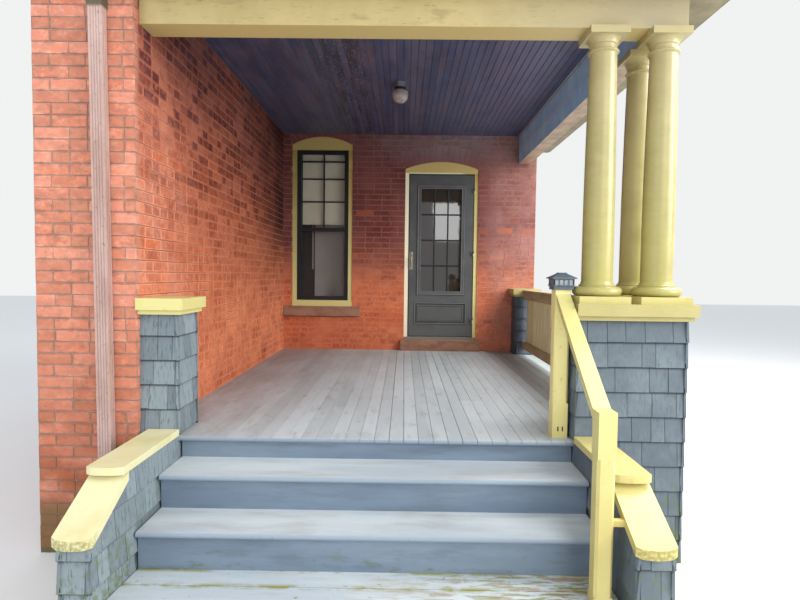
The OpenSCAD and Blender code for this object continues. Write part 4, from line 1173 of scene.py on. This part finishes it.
def ceiling_paint():
    """Dark violet-brown paint on ceiling boards: satin, with paler scuffs along the boards, and a
    bluer painted light towards the open right side.
    """
    return finish(start("dark violet paint on ceiling boards", 0.45), ("3b4768", "57576e"), [
        ("63505a", None, 70, 0.56, 0.08, 0.7, 1, (1, 4, 1)),
        ("2e3654", None, 120, 0.54, 0.08, 0.7, 3, (1, 4, 1)),
        # painted light: bluer and paler towards the open right side
        ("565f80", {"x": (1700, 2800)}, 300, 0.42, 0.2, 0.7, 4),
        ("1d2030", PEELED, 60, 0.52, 0.05, 0.85, 5, (1, 6, 1)),
        ("9a8c88", PEELED, 14, 0.6, 0.03, 0.8, 6, (1, 4, 1)),
        ("857c8a", None, 14, 0.68, 0.03, 0.7, 2, (1, 4, 1)),
    ], [(4, 0.2, (1, 12, 1))])


low, high = span("ceiling_boards")
count = round((high.x - low.x) / CEILING_BOARD)
pitch = (high.x - low.x) / count
dice = random.Random(CEILING_BOARD)
bm = empty_mesh()
for i in range(count):
    block(bm, (low.x + i * pitch + 0.7, low.y, low.z),
          (low.x + (i + 1) * pitch - 0.7, high.y, high.z), dice.random())
ease(bm, 4, edges=[e for e in bm.edges if all(v.co.z < at(0, 0, low.z + 1).z for v in e.verts)
                   and abs(e.verts[0].co.x - e.verts[1].co.x) < LEVEL])
piece("ceiling_planks", bm, [ceiling_paint()], "ceiling_paint", replaces=["ceiling_boards"])

# %% Mouldings on the beams and along the soffit
beam_low, beam_high = span("side_beam")
front_low, front_high = span("front_beam")
inner_x = beam_low.x + 2
boxes("side_beam_moulding", side_beam_grey, "yellow_paint", [
    ((beam_low.x - 9, beam_low.y, 2503), (inner_x, beam_high.y, 2517)),
    ((beam_low.x - 5, beam_low.y, 2517), (inner_x, beam_high.y, 2527)),
    ((beam_low.x - 14, beam_low.y, low.z - 16), (inner_x, beam_high.y, low.z)),
], 2)
boxes("front_beam_lip", beam_yellow, "yellow_paint", [
    ((4, front_high.y - 2, front_low.z), (beam_low.x, front_high.y + 12, front_low.z + 30)),
], 3)
boxes("soffit_moulding", soffit_tan, "yellow_paint", [
    ((4, front_low.y - 14, eaves_low.z - 16), (front_high.x + 14, front_low.y + 2, eaves_low.z)),
    ((front_high.x - 2, front_low.y - 14, eaves_low.z - 16),
     (front_high.x + 14, beam_high.y, eaves_low.z)),
], 4, 2)

# %% [markdown]
# ## The side railing
# Weathered vertical boards, nailed to an upper and a lower rail under a flat cap, close the right
# side. The boards went olive and split, and one was renewed and is paler. Each board is a block of
# its own width with a small gap, so daylight and shadow separate them.

# %% Railing wood
OUTSIDE = {"x": (3008, 3015)}


def weathered_boards():
    """Weathered paint on pine boards: olive and ochre, split along the grain, with grey wood; pale
    as painted light on their inner faces, darker olive outside.
    """
    return finish(start("weathered olive paint on pine", 0.75), ("ddd8a4", "f7f3c8"), [
        ("c5bd92", None, 16, 0.6, 0.06, 0.7, 1, (1, 1, 12)),
        ("dcd3a2", None, 40, 0.58, 0.08, 0.6, 2, (1, 1, 6)),
        # the outer faces keep the darker weathered olive; the pale base inside is painted light
        ("857c5a", OUTSIDE, 300, 0.22, 0.2, 0.8, 3),
        ("655d44", OUTSIDE, 30, 0.6, 0.1, 0.6, 4, (1, 1, 8)),
    ], [(4, 0.4, (1, 1, 14))])


def rail_stain():
    """Brown stain on the rails: matt and worn pale on the upper edges."""
    return finish(start("worn brown stain on rails", 0.7), "a08f6a", [
        ("bbab86", None, 70, 0.5, 0.12, 1.0, 0, (1, 5, 1)),
    ], [(4, 0.4, (1, 14, 1))])


pine_olive, rail_brown = weathered_boards(), rail_stain()
print("made", pine_olive.name, "and", rail_brown.name)

# %% Railing rails, cap and boards
RENEWED = (1960, 2080)
rail_low, rail_high = span("side_railing")
pier_back, pier_front = span("rear_pier")[0].y, span("corner_pier")[1].y
dice = random.Random(5)
boards = []
y = rail_low.y + 35
while y < rail_high.y - 40:
    end = min(y + dice.choice((92, 110, 118, 136)), rail_high.y - 35)
    tone = 1.0 if RENEWED[0] < y < RENEWED[1] else dice.uniform(0.2, 0.9)
    boards.append(((2999, y + 3, 80 + dice.uniform(0, 5)), (3016, end - 3, 760), tone))
    y = end
boxes("railing_boards", pine_olive, "weathered_wood", boards, 2, replaces=["side_railing"])
boxes("railing_rails", rail_brown, "weathered_wood", [
    ((2960, pier_front - CLAD, 78), (2998, pier_back + CLAD, 167), 0.3),
    ((2960, pier_front + 35, 673), (2998, pier_back - 35, 762), 0.6),
    ((rail_low.x, pier_front + 35, 763), (rail_high.x, pier_back - 35, rail_high.z), 0.8),
], 4, 2, replaces=["side_railing"])
print("railing between", round(pier_front), "and", round(pier_back))

# %% [markdown]
# ## The lantern on the upper newel
# A small post lantern of moulded plastic caps the newel: a foot band that steps in, a glazed band
# with bars before pale panes, and a low hipped roof with a flat top. It is built from blocks whose
# top faces are drawn in, and softened like a moulding.

# %% Lantern
low, high = span("newel_lantern")
cx, cy = (low.x + high.x) / 2, (low.y + high.y) / 2
half = (high.x - low.x) / 2
HALF_LANTERN_BAR = 3.5


def square(reach, z0, z1):
    """The two corners of a square block round the lantern's axis."""
    return (cx - reach, cy - reach, z0), (cx + reach, cy + reach, z1)


def draw_in(body, by):
    """Draws in a block's upper corners by `by` mm, for a hipped or stepped shape."""
    top = max(v.co.z for v in body)
    centre = sum((v.co for v in body), Vector()) / len(body)
    for v in body:
        if v.co.z > top - LEVEL / 2:
            for axis in (0, 1):
                v.co[axis] -= math.copysign(by / 1000, v.co[axis] - centre[axis])


bm = empty_mesh()
for reach, z0, z1, drawn in ((half - 16, low.z, low.z + 22, 0),
                             (half - 10, low.z + 20, low.z + 28, 0),
                             (half - 12, low.z + 58, low.z + 66, 0),
                             (half, low.z + 64, low.z + 72, 2),
                             (half - 6, low.z + 72, high.z - 4, 44),
                             (half - 48, high.z - 5, high.z, 0)):
    body = block(bm, *square(reach, z0, z1))
    if drawn:
        draw_in(body, drawn)
reach = half - 17
for i in range(5):
    step = -reach + i * reach / 2
    for side in (-reach, reach):
        for x, y in ((cx + step, cy + side), (cx + side, cy + step)):
            block(bm, (x - HALF_LANTERN_BAR, y - HALF_LANTERN_BAR, low.z + 26),
                  (x + HALF_LANTERN_BAR, y + HALF_LANTERN_BAR, low.z + 60))
ease(bm, 1.4, segments=2)
# slate grey plastic: even, satin, chalked by the sun in pale blots
plastic = finish(start("moulded slate grey plastic", 0.5), "4b555f", [
    ("5d6872", None, 30, 0.5, 0.15),
], [(2, 0.03, (1, 1, 1))])
piece("lantern_body", bm, [plastic], "lantern_paint", replaces=["newel_lantern"])
# frosted plastic: milky, pale, slightly glossy
frosted = finish(start("frosted plastic pane", 0.3), "aeb2b2", [("8d9296", None, 20, 0.5, 0.15)])
boxes("lantern_panes", frosted, "lantern_paint", [square(reach - 1, low.z + 26, low.z + 60)], 1,
      replaces=["newel_lantern"])

# %% [markdown]
# ## Bars in the door and the window
# Thin bars divide the door's glass into three by four panes. They lie on both faces of one sheet
# and swing with the door. Behind the storm window stands the old sash, whose bars show dark before
# a pale blind, and below it the dim room. Only that sash, the blind and a plain closing board are
# made; the board is dark, as painted shade for the dim room. Dark strips round the door's leaf and
# mouldings are painted shadow in its gaps, and the mouldings are painted lighter as highlights.

# %% Door bars
HALF_BAR = 9
glass_low, glass_high = span("door_panes")
glass = glass_high - glass_low
bars = []
for y0, y1 in ((glass_low.y - 11, glass_low.y - 0.5), (glass_high.y + 0.5, glass_high.y + 11)):
    for x in (glass_low.x + glass.x * i / 3 for i in (1, 2)):
        bars.append(((x - HALF_BAR, y0, glass_low.z), (x + HALF_BAR, y1, glass_high.z)))
    for z in (glass_low.z + glass.z * i / 4 for i in (1, 2, 3)):
        bars.append(((glass_low.x, y0 + 1, z - HALF_BAR), (glass_high.x, y1 - 1, z + HALF_BAR)))
boxes("door_bars", sash_black, "door_paint", bars, 3, 2, body="door")

# %% Mouldings of the door
leaf_low, leaf_high = span("door_leaf")
face_y = leaf_high.y - 42
LEAF = (leaf_low.x, leaf_low.z, leaf_high.x, leaf_high.z)
GLASS = (glass_low.x, glass_low.z, glass_high.x, glass_high.z)
PANEL = (glass_low.x - 60, leaf_low.z + 175, glass_high.x + 60, leaf_low.z + 420)


def frame_round(outline, grown, width, y0, y1):
    """Four strips, `width` wide, round an outline (x, z, x, z) that has grown by some mm."""
    x0, z0, x1, z1 = (side + way * grown for side, way in zip(outline, (-1, -1, 1, 1)))
    y0, y1 = face_y + y0, face_y + y1
    return [((x0 - width, y0, z0 - width), (x1 + width, y1, z0)),
            ((x0 - width, y0, z1), (x1 + width, y1, z1 + width)),
            ((x0 - width, y0, z0), (x0, y1, z1)),
            ((x1, y0, z0), (x1 + width, y1, z1))]


boxes("door_mouldings", moulding_grey, "door_paint",
      frame_round(PANEL, 0, 13, -7, 2) + frame_round(PANEL, -30, 7, -3, 4)
      + frame_round(GLASS, 31, 13, -11, -4) + frame_round(GLASS, 0, 9, -10, 10),
      3, 2, body="door")
# dark strips round the leaf and the mouldings: painted shadow in the door's gaps
gaps = []
for outline, grown, width in ((LEAF, -9, 9), (PANEL, -5, 5), (PANEL, 13, 4), (PANEL, -35, 5),
                              (GLASS, 44, 5), (GLASS, 24, 6)):
    gaps += frame_round(outline, grown, width, -0.6, 8)
boxes("door_shadow_gaps", sash_black, "sash_paint", gaps, body="door")

# %% Inner sash, blind and closing board of the window
pane_low, pane_high = span("window_panes")
inner_y = pane_high.y + 6
meeting = (pane_low.z + pane_high.z) / 2 - 47
middle = (pane_low.x + pane_high.x) / 2 + 8
bars = [((x0, inner_y, pane_low.z - 30), (x1, inner_y + 34, pane_high.z + 30))
        for x0, x1 in ((pane_low.x - 30, pane_low.x + 14), (pane_high.x - 14, pane_high.x + 30))]
bars.append(((middle - HALF_BAR, inner_y, meeting + 30),
             (middle + HALF_BAR, inner_y + 20, pane_high.z)))
bars += [((pane_low.x, inner_y + 1, z - HALF_BAR), (pane_high.x, inner_y + 21, z + HALF_BAR))
         for z in (1861, 2147, 2364)]
bars.append(((pane_low.x, inner_y + 2, meeting - 22), (pane_high.x, inner_y + 32, meeting + 22)))
boxes("window_inner_sash", sash_black, "sash_paint", bars, 2)

# a woven roller blind: matt, pale olive grey, with a faint weave
blind = finish(start("woven roller blind", 0.9), "f4f0d8", [
    ("e0dcc2", None, 300, 0.5, 0.2),
], [(2, 0.1, (8, 1, 1)), (2, 0.1, (1, 1, 8))])
boxes("window_blind", blind, "weathered_wood", [
    ((pane_low.x - 20, inner_y + 36, 1590), (pane_high.x + 20, inner_y + 38, pane_high.z + 20)),
    ((pane_low.x - 20, inner_y + 34, 1576), (pane_high.x + 20, inner_y + 42, 1592)),
], 0.5)

left, right, foot = window_low.x, window_high.x - 4, window_low.z
# a dark closing board: painted shade for the dim room
boxes("window_room_dark", dark_shade_board, "sash_paint", [
    ((left + 4, back_y + 270, foot + 58), (right, back_y + 290, 2610)),
    ((left + 90, back_y + 262, foot + 60), (left + 225, back_y + 271, 1000)),
])
boxes("window_room_door", room_grey, "sash_paint", [
    ((left + 240, back_y + 250, foot + 60), (right, back_y + 269, 1600)),
    ((left + 205, back_y + 252, 1010), (left + 222, back_y + 269, 1600)),
], 3)

# %% [markdown]
# ## Roof shingles and small fastenings
# The low roof is covered with asphalt tabs that show 125 mm. They are laid on the front slope and
# on the right slope, and each slope is sawn off at the hip. The upper newel's foot has two screw
# slots on its front, drawn as dark painted shade.

# %% Asphalt tabs on the two slopes
TAB, TAB_LENGTH, TAB_THICK = 125.0, 150.0, 3.5
NARROWEST_TAB = 15
WALL_GAP = 90
TILT = math.radians(1.0)
# asphalt shingles: mineral grit on felt, grey with darker and brownish tabs, very rough
grit = finish(start("mineral grit on asphalt felt", 0.95), ("565452", "6b6763"), [
    ("8f8a83", None, 4, 0.6, 0.05, 0.6, 1),
], [(3, 0.5, (1, 1, 1))])
dress("roof", grit)


def shingle_slope(bm, to_right, dice):
    """Lays rows of tabs on the front slope, or on the right slope, up to the hip."""
    if to_right:
        out, along = Vector((math.sin(PITCH), 0, math.cos(PITCH))), INTO
        first, run = RIGHT * roof_high.x, roof_high.x
        begin, end = roof_low.y, roof_high.y
    else:
        out, along = Vector((0, -math.sin(PITCH), math.cos(PITCH))), RIGHT
        first, run = INTO * roof_low.y, roof_high.y - roof_low.y
        begin, end = 0, roof_high.x
    rise = out.cross(along)
    tilt = Matrix.Rotation(TILT, 3, along)
    lift = tilt @ out if (tilt @ out).dot(rise) < 0 else tilt.inverted() @ out
    for row in range(int(run / math.cos(PITCH) / TAB) - 1):
        foot = 3 + row * TAB
        u = begin - dice.uniform(0, 200)
        while u < end:
            width = dice.uniform(160, 320)
            a, b = max(u, begin) + 1, min(u + width, end) - 1
            u += width
            if b - a < NARROWEST_TAB:
                continue
            centre = (along * (a + b) / 2 + rise * (foot + TAB_LENGTH / 2)
                      + out * (1.5 + dice.uniform(0, 0.8)))
            centre += first + UP * (roof_low.z + ROOF_FOOT)
            if centre.y > back_y - WALL_GAP and centre.x < right_end + WALL_GAP:
                continue
            slab(bm, centre, along, lift, (b - a, TAB_THICK, TAB_LENGTH), dice.random())
    saw(bm, (roof_high.x, roof_low.y, 0), Vector((-1, -1, 0)) if to_right else Vector((1, 1, 0)))
    saw(bm, (roof_high.x - 1, roof_high.y - 1, 0), INTO)
    saw(bm, (1, 0, 0), -RIGHT)


dice = random.Random(125)
for name, to_right in (("front_roof_tabs", False), ("right_roof_tabs", True)):
    bm = empty_mesh()
    shingle_slope(bm, to_right, dice)
    piece(name, bm, [grit], "roof_shingle")

# %% Screw slots in the upper newel
post_low = span("upper_newel")[0]
boxes("newel_screw_slots", dark_shade_board, "handle_metal",
      [((x - 4, post_low.y - 1.5, 40), (x + 4, post_low.y + 3, 68))
       for x in (post_low.x + 33, post_low.x + 59)], 1.4, 2)
